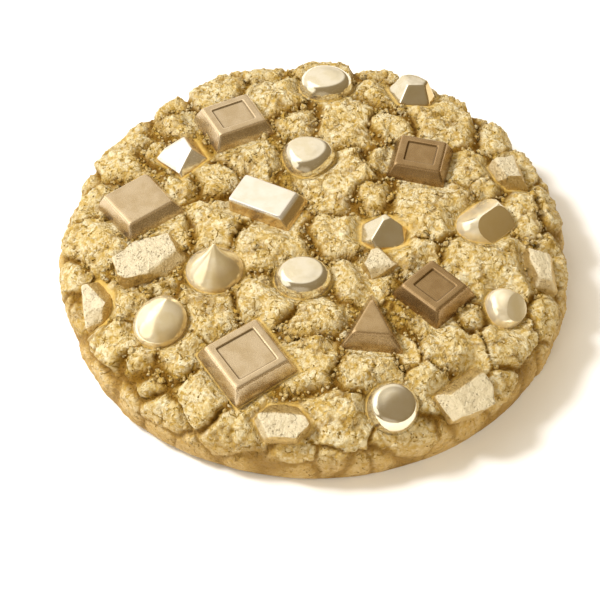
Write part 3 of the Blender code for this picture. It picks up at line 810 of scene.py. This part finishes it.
def shadeFace(bm, heading, steepness):
    # painted shade on the one face of the drop and a painted highlight over the rest
    lean, around = math.radians(steepness), math.radians(heading)
    away = Vector((math.sin(lean) * math.cos(around), math.sin(lean) * math.sin(around), math.cos(lean)))
    paintedLight = bm.verts.layers.float.new("paintedLight")
    for vert in bm.verts:
        turned = float(ramp(vert.normal.dot(away), *drops["shadeTurn"]))
        vert[paintedLight] = drops["gleam"] + (drops["shade"] - drops["gleam"]) * turned


def makeDrops():
    for name, x, y, turn, half, rise, flat, lobes, flats in drops["list"]:
        place = seatAt(x, y, turn)
        bm = dropShape(half, rise, flat, lobes, flats)
        shaded = drops["shaded"].get(name)
        if shaded:
            bm.normal_update()
            shadeFace(bm, *shaded)
        pieces.append((name, place, outlineDrawnIn(turnedOutline(18, half, lobes), flats)))
        bm.transform(place)
        look = "cream_lustre" if shaded else "pale_lustre"
        settle(meshObject(name + "_moulded", bm, lustre[look]), "pale_chocolate", name)


makeDrops()

# pointed drops: name, place, radius, tip height over the crown line, how far the tip leans, profile
pointedDrops = {
    "sides": 40,
    "leanPower": 1.4,
    "shadeHeading": -42.0,
    "shade": -0.75,
    "shadeTurn": (0.35, 0.4),  # where the shade starts round the drop and up it, and over how much
    "shadeRise": (0.1, 0.6),
    "cone": ((0.0, 1.0), (0.05, 1.0), (0.13, 0.955), (0.22, 0.85), (0.32, 0.73), (0.43, 0.59), (0.56, 0.44),
             (0.68, 0.315), (0.80, 0.20), (0.89, 0.125), (0.96, 0.07), (1.0, 0.02)),
    "bulb": ((0.0, 1.0), (0.1, 1.02), (0.22, 0.99), (0.34, 0.93), (0.47, 0.83), (0.59, 0.70), (0.70, 0.55),
             (0.79, 0.41), (0.87, 0.27), (0.94, 0.14), (0.98, 0.07), (1.0, 0.02)),
    "list": (
        ("kiss_pointed", -17.4, -9.8, 5.1, 5.6, (0.2, 0.2), "cone"),
        ("kiss_leaning", -26.6, -20.9, 4.7, 3.4, (1.6, 2.0), "bulb"),
    ),
}


def shadeSide(bm, rise):
    # painted shade: darker low down on one side, the side away from the light
    paintedLight = bm.verts.layers.float.new("paintedLight")
    around = math.radians(pointedDrops["shadeHeading"])
    shaded = Vector((math.cos(around), math.sin(around)))
    for vert in bm.verts:
        turned = vert.co.xy.dot(shaded) / max(vert.co.xy.length, 0.01)
        low = 1.0 - ramp(vert.co.z / rise, *pointedDrops["shadeRise"])
        vert[paintedLight] = float(pointedDrops["shade"] * ramp(turned, *pointedDrops["shadeTurn"]) * low)


def makePointedDrops():
    for name, x, y, radius, rise, lean, kind in pointedDrops["list"]:
        place = seatAt(x, y)
        outline = turnedOutline(pointedDrops["sides"], (radius, radius), 0.0)
        bm, face = startFace(outline, -seat["foot"])
        for level, reach in pointedDrops[kind]:
            shift = level ** pointedDrops["leanPower"]
            moved = [(c.x * reach + lean[0] * shift, c.y * reach + lean[1] * shift) for c in outline]
            face = raiseFace(bm, face, moved, -seat["hollow"] + (rise + seat["hollow"]) * level)
        closeShape(bm)
        pieces.append((name, place, turnedOutline(18, (radius, radius), 0.0)))
        shadeSide(bm, rise)
        bm.transform(place)
        settle(meshObject(name + "_moulded", bm, lustre["cream_lustre"]), "pale_chocolate", name)


makePointedDrops()
print("drops made")

# broken pieces: name, place, turn, half sizes, rise, and flats as (heading, steepness, distance)
chunks = {
    "edge": 0.3,
    "cuts": 5,
    "nutDepth": 0.13,  # how rough a nut is, and a nugget of chocolate
    "nuggetDepth": 0.03,
    "dents": ((0.24, 2.2), (0.14, 0.9)),  # reach and size
    "pitSize": 0.75,
    "pitReach": 0.45,
    "pitSlope": 2.0,
    "palest": Vector((-0.3, -0.25, 0.92)),  # the way the bare, pitted faces of a nut look, and the lit faces of a nugget
    "paleTurn": (0.55, 0.2),  # how squarely a spot faces that way where it turns bare, and over how much
    # painted shade on nugget faces turned from the light
    "sideShade": 0.8,
    "list": (
        ("nut_west", -28.6, -7.3, 14.0, (6.6, 4.0), 1.2,
         ((45, 0, 5.8), (225, 0, 6.4), (-60, 40, 3.3), (8, 35, 5.0), (120, 0, 4.6), (-20, 0, 6.2))),
        ("nut_southwest", -39.0, -14.4, 8.0, (2.9, 4.9), 1.2,
         ((90, 30, 3.8), (-90, 35, 3.7), (30, 40, 2.3), (180, 25, 2.4), (-40, 10, 3.6))),
        ("nut_centre", 11.2, -8.9, 30.0, (2.8, 2.4), 0.9,
         ((10, 35, 2.5), (130, 25, 2.6), (-100, 28, 2.4))),
        ("nut_south", -5.6, -41.6, -4.0, (4.7, 3.1), 1.5,
         ((90, 50, 2.7), (140, 10, 3.9), (40, 10, 3.9), (-40, 0, 4.1), (-150, 20, 3.8))),
        ("nut_southeast", 26.4, -35.4, 38.0, (4.7, 3.5), 1.5,
         ((180, 45, 3.9), (90, 50, 3.2), (-30, 0, 4.6), (-110, 10, 3.3))),
        ("nut_east", 40.9, -7.0, 4.0, (3.2, 4.3), 1.2,
         ((0, 35, 2.0), (-95, 25, 3.5), (80, 30, 3.5), (200, 15, 2.9))),
        ("nut_northeast", 35.9, 15.8, -35.0, (4.2, 3.6), 1.3,
         ((50, 38, 1.9), (-40, 25, 3.3), (150, 25, 3.5), (-120, 20, 3.3))),
        ("nugget_white", -23.1, 18.3, 40.0, (4.0, 3.8), 1.7,
         ((165, 62, 2.2), (-15, 40, 2.6), (-85, 32, 2.9), (75, 25, 3.3))),
        ("nugget_centre", 12.1, -1.3, 12.0, (4.4, 3.6), 1.8,
         ((165, 52, 2.35), (-75, 55, 2.2), (35, 35, 3.2), (100, 30, 3.0), (-140, 20, 3.7), (-20, 25, 3.8))),
        ("nugget_north", 17.7, 34.9, -10.0, (4.8, 3.4), 1.7,
         ((-70, 45, 2.2), (-150, 40, 2.7), (-10, 35, 3.2), (60, 10, 3.6), (130, 10, 3.9))),
    ),
}


def chunkOutline(half, flats):
    return outlineClipped(oblong((2 * half[0], 2 * half[1])), flats)


def chunkShape(half, rise, flats, rough):
    outline = chunkOutline(half, flats)
    bm, face = startFace(outline, -seat["foot"])
    raiseFace(bm, face, outline, rise)
    closeShape(bm)
    cutFlats(bm, [flat for flat in flats if flat[1] > 0])
    faceOutwards(bm)
    roundEdges(bm, bm.edges[:], chunks["edge"], 2)
    finerFaces(bm, chunks["cuts"])
    faceOutwards(bm)
    bm.normal_update()
    facing, paintedLight = (bm.verts.layers.float.new(layer) for layer in ("face", "paintedLight"))
    moves = []
    for vert in bm.verts:
        vert[facing] = float(ramp(vert.normal.dot(chunks["palest"]), *chunks["paleTurn"]))
        # painted shade: nugget faces turned from the light take the lustre's shade tone
        vert[paintedLight] = chunks["sideShade"] * (vert[facing] - 1.0)
        dent = sum(reach * noiseAt(vert.co, size) for reach, size in chunks["dents"])
        dent = dent * rough / chunks["nutDepth"]
        pit = noise.voronoi(vert.co / chunks["pitSize"])[0][0]
        dent -= rough * max(0.0, chunks["pitReach"] - pit) * chunks["pitSlope"]
        moves.append(vert.normal * dent)
    for vert, move in zip(bm.verts, moves):
        vert.co += move
    return bm


def makeChunks():
    for name, x, y, turn, half, rise, flats in chunks["list"]:
        place = seatAt(x, y, turn)
        nut = name.startswith("nut_")
        bm = chunkShape(half, rise, flats, chunks["nutDepth"] if nut else chunks["nuggetDepth"])
        pieces.append((name, place, chunkOutline(half, flats)))
        bm.transform(place)
        finish = lustre["pearl_lustre" if name == "nugget_white" else "pale_lustre"]
        shown = meshObject(name + "_broken", bm, nutSkin if nut else finish)
        settle(shown, "gilded_nut" if nut else "pale_chocolate", name)


makeChunks()
print("chunks made")

# the crackled crust: lumps rise from a floor of crumb, and creases part those that touch
crackle = {
    "grow": 1.18,
    "proud": 0.75,
    "dome": 0.5,
    "tilt": 0.08,
    "wander": ((1.6, 7.0), (0.55, 2.2), (0.28, 0.8)),  # reach and size of what bends the lumps' borders
    "crease": (1.35, 1.8, 0.9),  # width, depth, and how sharp its floor is
    "creaseChange": (1.5, 8.0),  # how much the width changes, and over what distance
    "creaseWidths": (0.35, 2.0),
    "creaseDepths": (0.45, 1.15),
    "crumbly": (0.2, 0.6),  # where in a crease the crumb starts, and over how much
    "floor": 2.2,
    "floorRange": (1.0, 0.2),
    "bend": (0.35, 0.9),
    "pebbles": (2.0, 1.0, 0.3),  # size, height, and their share on the lumps
    "rough": (3.0, 0.5, 0.65, 2.2, 5),  # size, height, and how its finer layers fall, shrink and are counted
    "grit": (1.1, 0.45, 0.6),  # size, height, and its share on the lumps
    "gritMiddle": 0.42,
    "splits": (0.22, 0.14),  # width and depth
    "plates": (4.2, 0.32, 0.13),  # size, depth and width of the cracks between them
    "plateBend": (0.9, 1.7),
    "plateChance": (5.0, -0.12, 0.3),  # size, where cracks start to show, and over how much
    "plateCrumb": 0.6,
    "calm": (44.5, 7.0),  # low down on the side the crust is quieter
    "calmLevel": 0.2,
    "calmShares": {"relief": 0.6, "crumb": 0.3, "deep": 0.45},
    "deepGrit": (0.0, 0.35),
    "deepCrease": (0.4, 0.5),
    "deepShares": {"plates": 0.5, "creases": 0.95},
    "sideLumps": 26,
    "sideArc": 51.0,
    "sideSize": (4.6, 6.4),
    "sideShift": (0.35, 1.2),  # how far they stray along the row and across it
    "skirts": {  # how far the butter, with its ring of painted shade, spreads round a piece
        "drop": 0.55, "kiss": 0.6, "nugget": 0.95, "nugget_white": 0.6, "nut_south": 0.9,
        "nut_southwest": 0.8, "nut_southeast": 0.6, "nut_northeast": 0.7, "tile_south": 0.55,
    },
    "skirtDry": 0.35,
    "skirtGrain": (0.5, 0.25, 0.1),  # shares of grit and roughness, and where they start
    "butterFrom": 0.5,
    "butterOver": 1.35,
    "lumps": (
        (-19.5, 38.5, 6.0), (-26.0, 28.5, 4.5), (-35.5, 23.0, 7.0), (-29.5, 20.5, 3.0),
        (-42.0, 10.5, 5.0), (-40.5, 0.0, 5.6), (-6.0, 33.0, 4.8), (-1.5, 26.0, 4.4),
        (-11.5, 16.0, 4.6), (-17.0, 11.5, 4.5), (-23.5, 10.5, 3.2), (-16.5, 2.0, 6.0),
        (-7.5, -3.5, 7.4), (-25.5, 0.5, 4.0), (10.0, 34.0, 4.6), (5.0, 26.5, 7.2),
        (24.0, 28.0, 6.5), (32.0, 26.5, 4.2), (12.0, 16.0, 3.4), (5.0, 12.0, 6.8),
        (10.5, 7.5, 4.0), (20.5, 5.0, 6.4), (27.5, 15.5, 4.2), (32.0, 10.5, 2.8),
        (38.0, 7.0, 5.0), (4.0, -2.0, 4.6), (30.5, -8.0, 7.4), (18.0, -7.0, 4.0),
        (-47.5, -6.0, 5.0), (-33.0, -16.5, 5.0), (-28.5, -13.0, 3.6), (-17.5, -19.0, 5.2),
        (-9.0, -17.0, 6.0), (0.0, -21.0, 4.8), (-36.0, -24.0, 6.2), (-30.0, -28.0, 4.6),
        (-23.5, -28.5, 5.4), (-28.5, -32.5, 4.2), (-20.0, -36.0, 6.2), (-27.0, -39.0, 6.0),
        (-36.0, -35.5, 5.6), (-14.5, -45.5, 7.8), (-25.0, -47.0, 6.0), (-4.0, -49.0, 6.4),
        (0.0, -30.5, 5.8), (7.5, -12.5, 4.4), (8.5, -31.0, 6.4), (16.5, -28.0, 3.8),
        (23.5, -26.5, 6.8), (19.5, -33.5, 4.6), (34.5, -24.5, 6.6), (27.5, -20.5, 3.2),
        (5.0, -41.0, 7.6), (16.0, -46.5, 6.6), (35.0, -33.0, 4.4), (27.5, -45.0, 6.4),
        (7.0, -51.5, 6.6), (41.5, -29.5, 5.4), (44.0, -17.0, 5.2), (46.5, -2.0, 5.0),
        (45.0, 9.0, 5.2), (39.0, 19.5, 4.6), (-12.0, 45.0, 5.4), (3.0, 44.0, 5.6),
        (12.0, 45.5, 5.0), (27.0, 38.5, 5.6), (-27.5, 37.0, 5.6), (-45.0, 17.5, 5.2),
        (-46.0, -16.5, 5.0), (13.5, 25.5, 3.6),
    ),
}


def beyondOutline(points, place, outline):
    # how far points are outside a piece's outline, measured across its own frame
    back = np.array(place.inverted())
    local = points @ back[:3, :3].T + back[:3, 3]
    far = np.full(len(points), -1e9)
    for i, here in enumerate(outline):
        there = outline[(i + 1) % len(outline)]
        along = (there - here).normalized()
        reach = along.y * here.x - along.x * here.y
        far = np.maximum(far, along.y * local[:, 0] - along.x * local[:, 1] - reach)
    far[np.abs(local[:, 2]) > seat["reach"]] = seat["reach"]
    return far


def lumpList():
    # the listed lumps of the top, and a row of them round the side
    flat = [(x, y) for x, y, radius in crackle["lumps"]]
    sizes = [radius for x, y, radius in crackle["lumps"]]
    small, large = crackle["sideSize"]
    along, across = crackle["sideShift"]
    for i in range(crackle["sideLumps"]):
        # the sines only scatter them
        turn = 2 * math.pi * (i + along * math.sin(5.0 * i)) / crackle["sideLumps"]
        arc = crackle["sideArc"] + across * math.sin(3.0 * i)
        flat.append((arc * math.cos(turn), arc * math.sin(turn)))
        sizes.append(small + (large - small) * (0.5 + 0.5 * math.sin(7.0 * i)))
    return crustAt(np.array(flat))[0], np.array(sizes)


def cellsAt(vectors, size):
    return np.array([noise.voronoi(v / size)[0][:2] for v in vectors])


def scalarNoise(vectors, size):
    return np.array([noiseAt(v, size) for v in vectors])


def vectorNoise(vectors, size):
    return np.array([noise.noise_vector(v / size) for v in vectors])


def bentVectors(points, vectors, reach, size):
    return [Vector(point) for point in points + reach * vectorNoise(vectors, size)]


def lumpsAt(points, vectors):
    # how far out in its own lump each point is, how far from the next lump's, and how the lump leans
    middles, sizes = lumpList()
    sizes = sizes * crackle["grow"]
    wandered = points
    for reach, size in crackle["wander"]:
        wandered = wandered + reach * vectorNoise(vectors, size)
    away = np.stack([np.linalg.norm(wandered - m, axis=1) / r for m, r in zip(middles, sizes)])
    order = np.argsort(away, axis=0)[:2]
    nearest, nextOne = np.take_along_axis(away, order, axis=0)
    first, second = sizes[order]
    apart = (nextOne - nearest) * first * second / (first + second)
    leaning = np.stack([np.sin(2.4 * order[0]), np.cos(3.7 * order[0])], axis=1) * crackle["tilt"]
    return nearest, apart, np.sum(leaning * (points - middles[order[0]])[:, :2], axis=1)


def plateCracksAt(points, vectors):
    # thin cracks over the lumps, here and there
    size, depth, width = crackle["plates"]
    plates = cellsAt(bentVectors(points, vectors, *crackle["plateBend"]), size)
    cracks = np.clip(1.0 - (plates[:, 1] - plates[:, 0]) / width, 0.0, 1.0)
    size, start, over = crackle["plateChance"]
    cracks = cracks * ramp(scalarNoise(vectors, size), start, over)
    return cracks, depth * cracks


def seatPieces(points, relief, grit, rough):
    # sinks the crust to a hollow round every set-in piece, with a skirt of butter, partly painted shade,
    # where it is wet
    gritShare, roughShare, start = crackle["skirtGrain"]
    grain = gritShare * grit + roughShare * rough
    skirt = np.zeros(len(points))
    for name, place, outline in pieces:
        far = beyondOutline(points, place, outline)
        wet = crackle["skirts"].get(name, crackle["skirts"].get(name.split("_")[0], crackle["skirtDry"]))
        hollow = -seat["hollow"] + seat["hollowRise"] * np.maximum(far - seat["gap"], 0.0)
        hollow = hollow + grain * ramp(far, start, wet)
        near = ramp(1.0 - far / seat["skirt"], 0.0, 1.0)
        relief = np.minimum(relief, hollow)
        settled = -seat["settling"] * seat["hollow"] + (1.0 - seat["settling"]) * relief
        relief = relief * (1.0 - near) + np.minimum(hollow, settled) * near
        if wet > crackle["butterFrom"]:
            skirt = np.maximum(skirt, ramp(crackle["butterOver"] - far / wet, 0.0, 1.0))
    return relief, skirt


def reliefAt(points, arc):
    # the crust's height over the plain one, with how crumbly each point is, how much painted shade it takes
    # in creases and cracks, and how buttery it is
    vectors = [Vector(point) for point in points]
    nearest, apart, lean = lumpsAt(points, vectors)
    creaseWidth, creaseDepth, sharpness = crackle["crease"]
    change, changeSize = crackle["creaseChange"]
    broad = scalarNoise(vectors, changeSize)
    width = creaseWidth * np.clip(1.0 + change * broad, *crackle["creaseWidths"])
    groove = np.clip(1.0 - apart / width, 0.0, 1.0)
    valley = ramp(nearest, *crackle["floorRange"])
    crumb = np.maximum(ramp(groove, *crackle["crumbly"]), valley)

    crease = creaseDepth * np.clip(width / creaseWidth, *crackle["creaseDepths"]) * groove ** sharpness
    lump = -crackle["dome"] * np.clip(nearest, 0.0, 1.0) ** 3 - crease + lean
    lump = lump * (1.0 - valley) - crackle["floor"] * valley
    bent = bentVectors(points, vectors, *crackle["bend"])
    size, height, onLumps = crackle["pebbles"]
    pebbles = height * (1.0 - cellsAt(bent, size)[:, 0] ** 2) * (onLumps + (1.0 - onLumps) * valley)
    relief = crackle["proud"] + np.maximum(lump, pebbles - crackle["floor"])

    size, height, fall, shrink, layers = crackle["rough"]
    rough = np.array([noise.fractal(v / size, fall, shrink, layers) for v in vectors])
    relief = relief + height * rough
    size, height, onLumps = crackle["grit"]
    cells = cellsAt(bent, size)
    grit = crackle["gritMiddle"] - cells[:, 0]
    relief = relief + height * grit * (onLumps + (1.0 - onLumps) * crumb)
    width, depth = crackle["splits"]
    relief = relief - depth * np.clip(1.0 - (cells[:, 1] - cells[:, 0]) / width, 0.0, 1.0)
    cracks, crackDepth = plateCracksAt(points, vectors)
    relief = relief - crackDepth * (1.0 - crumb)

    quiet = ramp(arc, *crackle["calm"])
    calm = {name: 1.0 - share * quiet for name, share in crackle["calmShares"].items()}
    relief = crackle["calmLevel"] + (relief - crackle["calmLevel"]) * calm["relief"]
    crumb = np.maximum(crumb, crackle["plateCrumb"] * cracks) * calm["crumb"]
    # painted shade mask: the low crumb, plate cracks and creases
    deep = np.maximum(crumb * ramp(-grit, *crackle["deepGrit"]), crackle["deepShares"]["plates"] * cracks)
    creases = crackle["deepShares"]["creases"] * ramp(groove, *crackle["deepCrease"])
    deep = np.maximum(deep, creases) * calm["deep"]
    relief, skirt = seatPieces(points, relief, grit, rough)
    return relief, crumb, deep * (1.0 - skirt), skirt


def onDisc(across, up):
    # a square grid laid on a round one, ring for ring
    wide = np.abs(across) > np.abs(up)
    reach = np.where(wide, across, up)
    other = np.where(wide, up, across)
    turn = math.pi / 4 * other / np.where(reach == 0.0, 1.0, reach)
    turn = np.where(wide, turn, math.pi / 2 - turn)
    return np.column_stack([reach * np.cos(turn), reach * np.sin(turn)])


def makeDough():
    bm = bmesh.new()
    bmesh.ops.create_grid(bm, x_segments=crust["cells"], y_segments=crust["cells"], size=1.0)
    square = np.array([vert.co[:2] for vert in bm.verts])
    flat = onDisc(square[:, 0], square[:, 1]) * arcEnd
    points, normals = crustAt(flat)
    arc = np.hypot(flat[:, 0], flat[:, 1])
    relief, crumb, deep, skirt = reliefAt(points, arc)
    fade = ramp(arcEnd - arc, 0.0, crust["rimFade"])
    points = points + normals * (relief * fade)[:, None]
    shift = np.array(inPlace.translation[:2]) / millimetre
    points[:, :2] = (points[:, :2] + shift) * crust["fit"] - shift
    low = ramp(arc, *crust["low"])
    layers = {"crumb": crumb, "deep": deep, "skirt": skirt, "low": low}
    made = {name: bm.verts.layers.float.new(name) for name in layers}
    for i, vert in enumerate(bm.verts):
        vert.co = points[i]
        for name, layer in made.items():
            vert[layer] = float(layers[name][i])
    rim = [edge for edge in bm.edges if edge.is_boundary]
    for vert in {vert for edge in rim for vert in edge.verts}:
        vert.co.z = 0.0
    bottom = bmesh.ops.contextual_create(bm, geom=rim)["faces"]
    faceOutwards(bm)
    bottom[0].material_index = 1
    bmesh.ops.triangulate(bm, faces=bottom)
    shown = meshObject("dough_crust", bm, baked)
    shown.data.materials.append(base)
    flags = [polygon.material_index == 0 for polygon in shown.data.polygons]
    shown.data.polygons.foreach_set("use_smooth", flags)
    settle(shown, "dough", "dough")
    return points, normals, crumb, skirt, arc


doughPoints, doughNormals, doughCrumb, doughSkirt, doughArc = makeDough()
print("dough made:", len(doughPoints), "points")

# loose crumbs held in the valleys
crumbs = {
    "seed": 11,
    "kinds": (  # name, how many, radii, how fine
        ("fine_crumbs", 1500, (0.22, 0.5), 1),
        ("large_crumbs", 220, (0.35, 0.8), 2),
    ),
    "batch": 60,
    "driest": 0.4,  # none lie where there is more butter than this
    "within": 43.0,
    "stretch": (0.7, 1.15),
    "browned": (0.1, 0.75),
    "rise": 0.35,
    "lumpSize": 0.8,
    "lumpReach": 0.9,
}


def addCrumb(bm, layer, spot, normal, sizes, detail, draw):
    size = sizes[0] + (sizes[1] - sizes[0]) * draw.random() ** 2
    turn = Euler(draw.uniform(0.0, 2 * math.pi, 3)).to_matrix().to_4x4()
    shape = Matrix.Diagonal((*draw.uniform(*crumbs["stretch"], 3), 1.0))
    place = Matrix.Translation(Vector(spot) + Vector(normal) * size * crumbs["rise"])
    made = bmesh.ops.create_icosphere(bm, subdivisions=detail, radius=size, matrix=place @ turn @ shape)
    browned = draw.uniform(*crumbs["browned"])
    for vert in made["verts"]:
        bump = noise.noise_vector(vert.co / (size * crumbs["lumpSize"]))
        vert.co += bump * size * crumbs["lumpReach"]
        vert[layer] = browned


def makeCrumbs(name, count, sizes, detail, draw):
    chance = doughCrumb * (doughSkirt < crumbs["driest"]) * (doughArc < crumbs["within"])
    picked = draw.choice(len(doughPoints), size=count, replace=False, p=chance / chance.sum())
    whole = bmesh.new()
    for start in range(0, count, crumbs["batch"]):
        bm = bmesh.new()
        layer = bm.verts.layers.float.new("crumb")
        for i in picked[start:start + crumbs["batch"]]:
            addCrumb(bm, layer, doughPoints[i], doughNormals[i], sizes, detail, draw)
        part = meshFrom("batch", bm)
        whole.from_mesh(part)
        bpy.data.meshes.remove(part)
    settle(meshObject(name, whole, baked), "dough")


draw = np.random.default_rng(crumbs["seed"])
for kind in crumbs["kinds"]:
    makeCrumbs(*kind, draw)
print("crumbs made")

# the studio: a pale floor, a key lamp on the left, wide ones in front and on the right,
# and a dark room with a few glows for the lustre to mirror
studio = {
    "aim": (-0.00234, -0.01, 0.006),
    "distance": 0.5,
    "elevation": 49.0,
    "lens": 169.5,
    "sensor": 36.0,
    "nearest": 0.01,
    "floorSize": 3.0,
    "floorDrop": 0.0001,
    "floorTone": (0.9, 0.9, 0.9, 1.0),
    "floorRoughness": 0.9,
    "floorSpecular": 0.1,
    "sky": (1.0, 0.985, 0.96),
    "dark": (0.20, 0.13, 0.045),
    "glows": (  # direction, cosines where it starts and is full, strength
        ((-0.47, 0.67, 0.57), 0.52, 0.84, 0.84),
        ((-0.15, -0.96, 0.21), 0.80, 0.96, 0.25),
        ((-0.56, 0.32, 0.77), 0.90, 0.97, 1.8),
        ((-0.86, -0.22, 0.46), 0.90, 0.96, 1.3),
    ),
    "lights": (  # name, place, width, power, colour
        ("key", (-0.48, 0.06, 0.62), 0.2, 6.1, (1.0, 1.0, 1.0)),
        ("fill", (-0.16, -0.70, 0.45), 0.5, 2.3, (1.0, 0.93, 0.78)),
        ("side", (0.60, -0.25, 0.42), 0.5, 2.4, (1.0, 0.92, 0.75)),
    ),
}


def makeFloor():
    bm = bmesh.new()
    bmesh.ops.create_grid(bm, x_segments=2, y_segments=2, size=studio["floorSize"] / 2)
    floor = addObject("floor", meshFrom("floor", bm))
    floor.location.z = -studio["floorDrop"]
    material = bpy.data.materials.new("pale_floor")
    material.use_nodes = True
    shader = material.node_tree.nodes["Principled BSDF"]
    feedInputs(material.node_tree, shader, Base_Color=studio["floorTone"], Roughness=studio["floorRoughness"])
    feedInputs(material.node_tree, shader, Specular_IOR_Level=studio["floorSpecular"])
    floor.data.materials.append(material)
    floor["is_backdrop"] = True


def makeLights():
    world = bpy.data.worlds.new("studio")
    bpy.context.scene.world = world
    world.use_nodes = True
    tree = world.node_tree
    facing = addNode(tree, "ShaderNodeTexCoord").outputs["Generated"]
    colour = (*studio["dark"], 1.0)
    for direction, low, high, strength in studio["glows"]:
        along = addNode(tree, "ShaderNodeVectorMath", {"operation": "DOT_PRODUCT"})
        feed(tree, along.inputs[0], facing)
        feed(tree, along.inputs[1], Vector(direction).normalized())
        glow = addRange(tree, along.outputs["Value"], low, high, 0.0, strength)
        colour = addMix(tree, glow, colour, (*studio["sky"], 1.0), "ADD")
    feedInputs(tree, tree.nodes["Background"], Color=colour)
    for name, place, size, power, colour in studio["lights"]:
        lamp = bpy.data.lights.new(name, "AREA")
        lamp.shape = "DISK"
        lamp.size = size
        lamp.energy = power
        lamp.color = colour
        holder = addObject(name, lamp)
        holder.location = place
        holder.visible_glossy = False  # the lustre mirrors the room, not the lamps
        holder.rotation_euler = (-Vector(place)).to_track_quat("-Z", "Y").to_euler()


def makeCamera():
    tip = math.radians(studio["elevation"])
    lens = bpy.data.cameras.new("camera")
    lens.lens = studio["lens"]
    lens.sensor_width = studio["sensor"]
    lens.clip_start = studio["nearest"]
    camera = addObject("camera", lens)
    back = Vector((0.0, -math.cos(tip), math.sin(tip))) * studio["distance"]
    camera.location = Vector(studio["aim"]) + back
    camera.rotation_euler = (math.pi / 2 - tip, 0.0, 0.0)
    bpy.context.scene.camera = camera


makeFloor()
makeLights()
makeCamera()
bpy.context.scene.view_settings.view_transform = "Standard"
print("studio set")


def plain(value):
    return [plain(item) for item in value] if hasattr(value, "__len__") else float(value)


{"frame": plain(frameBox), "visual": plain(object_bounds())}
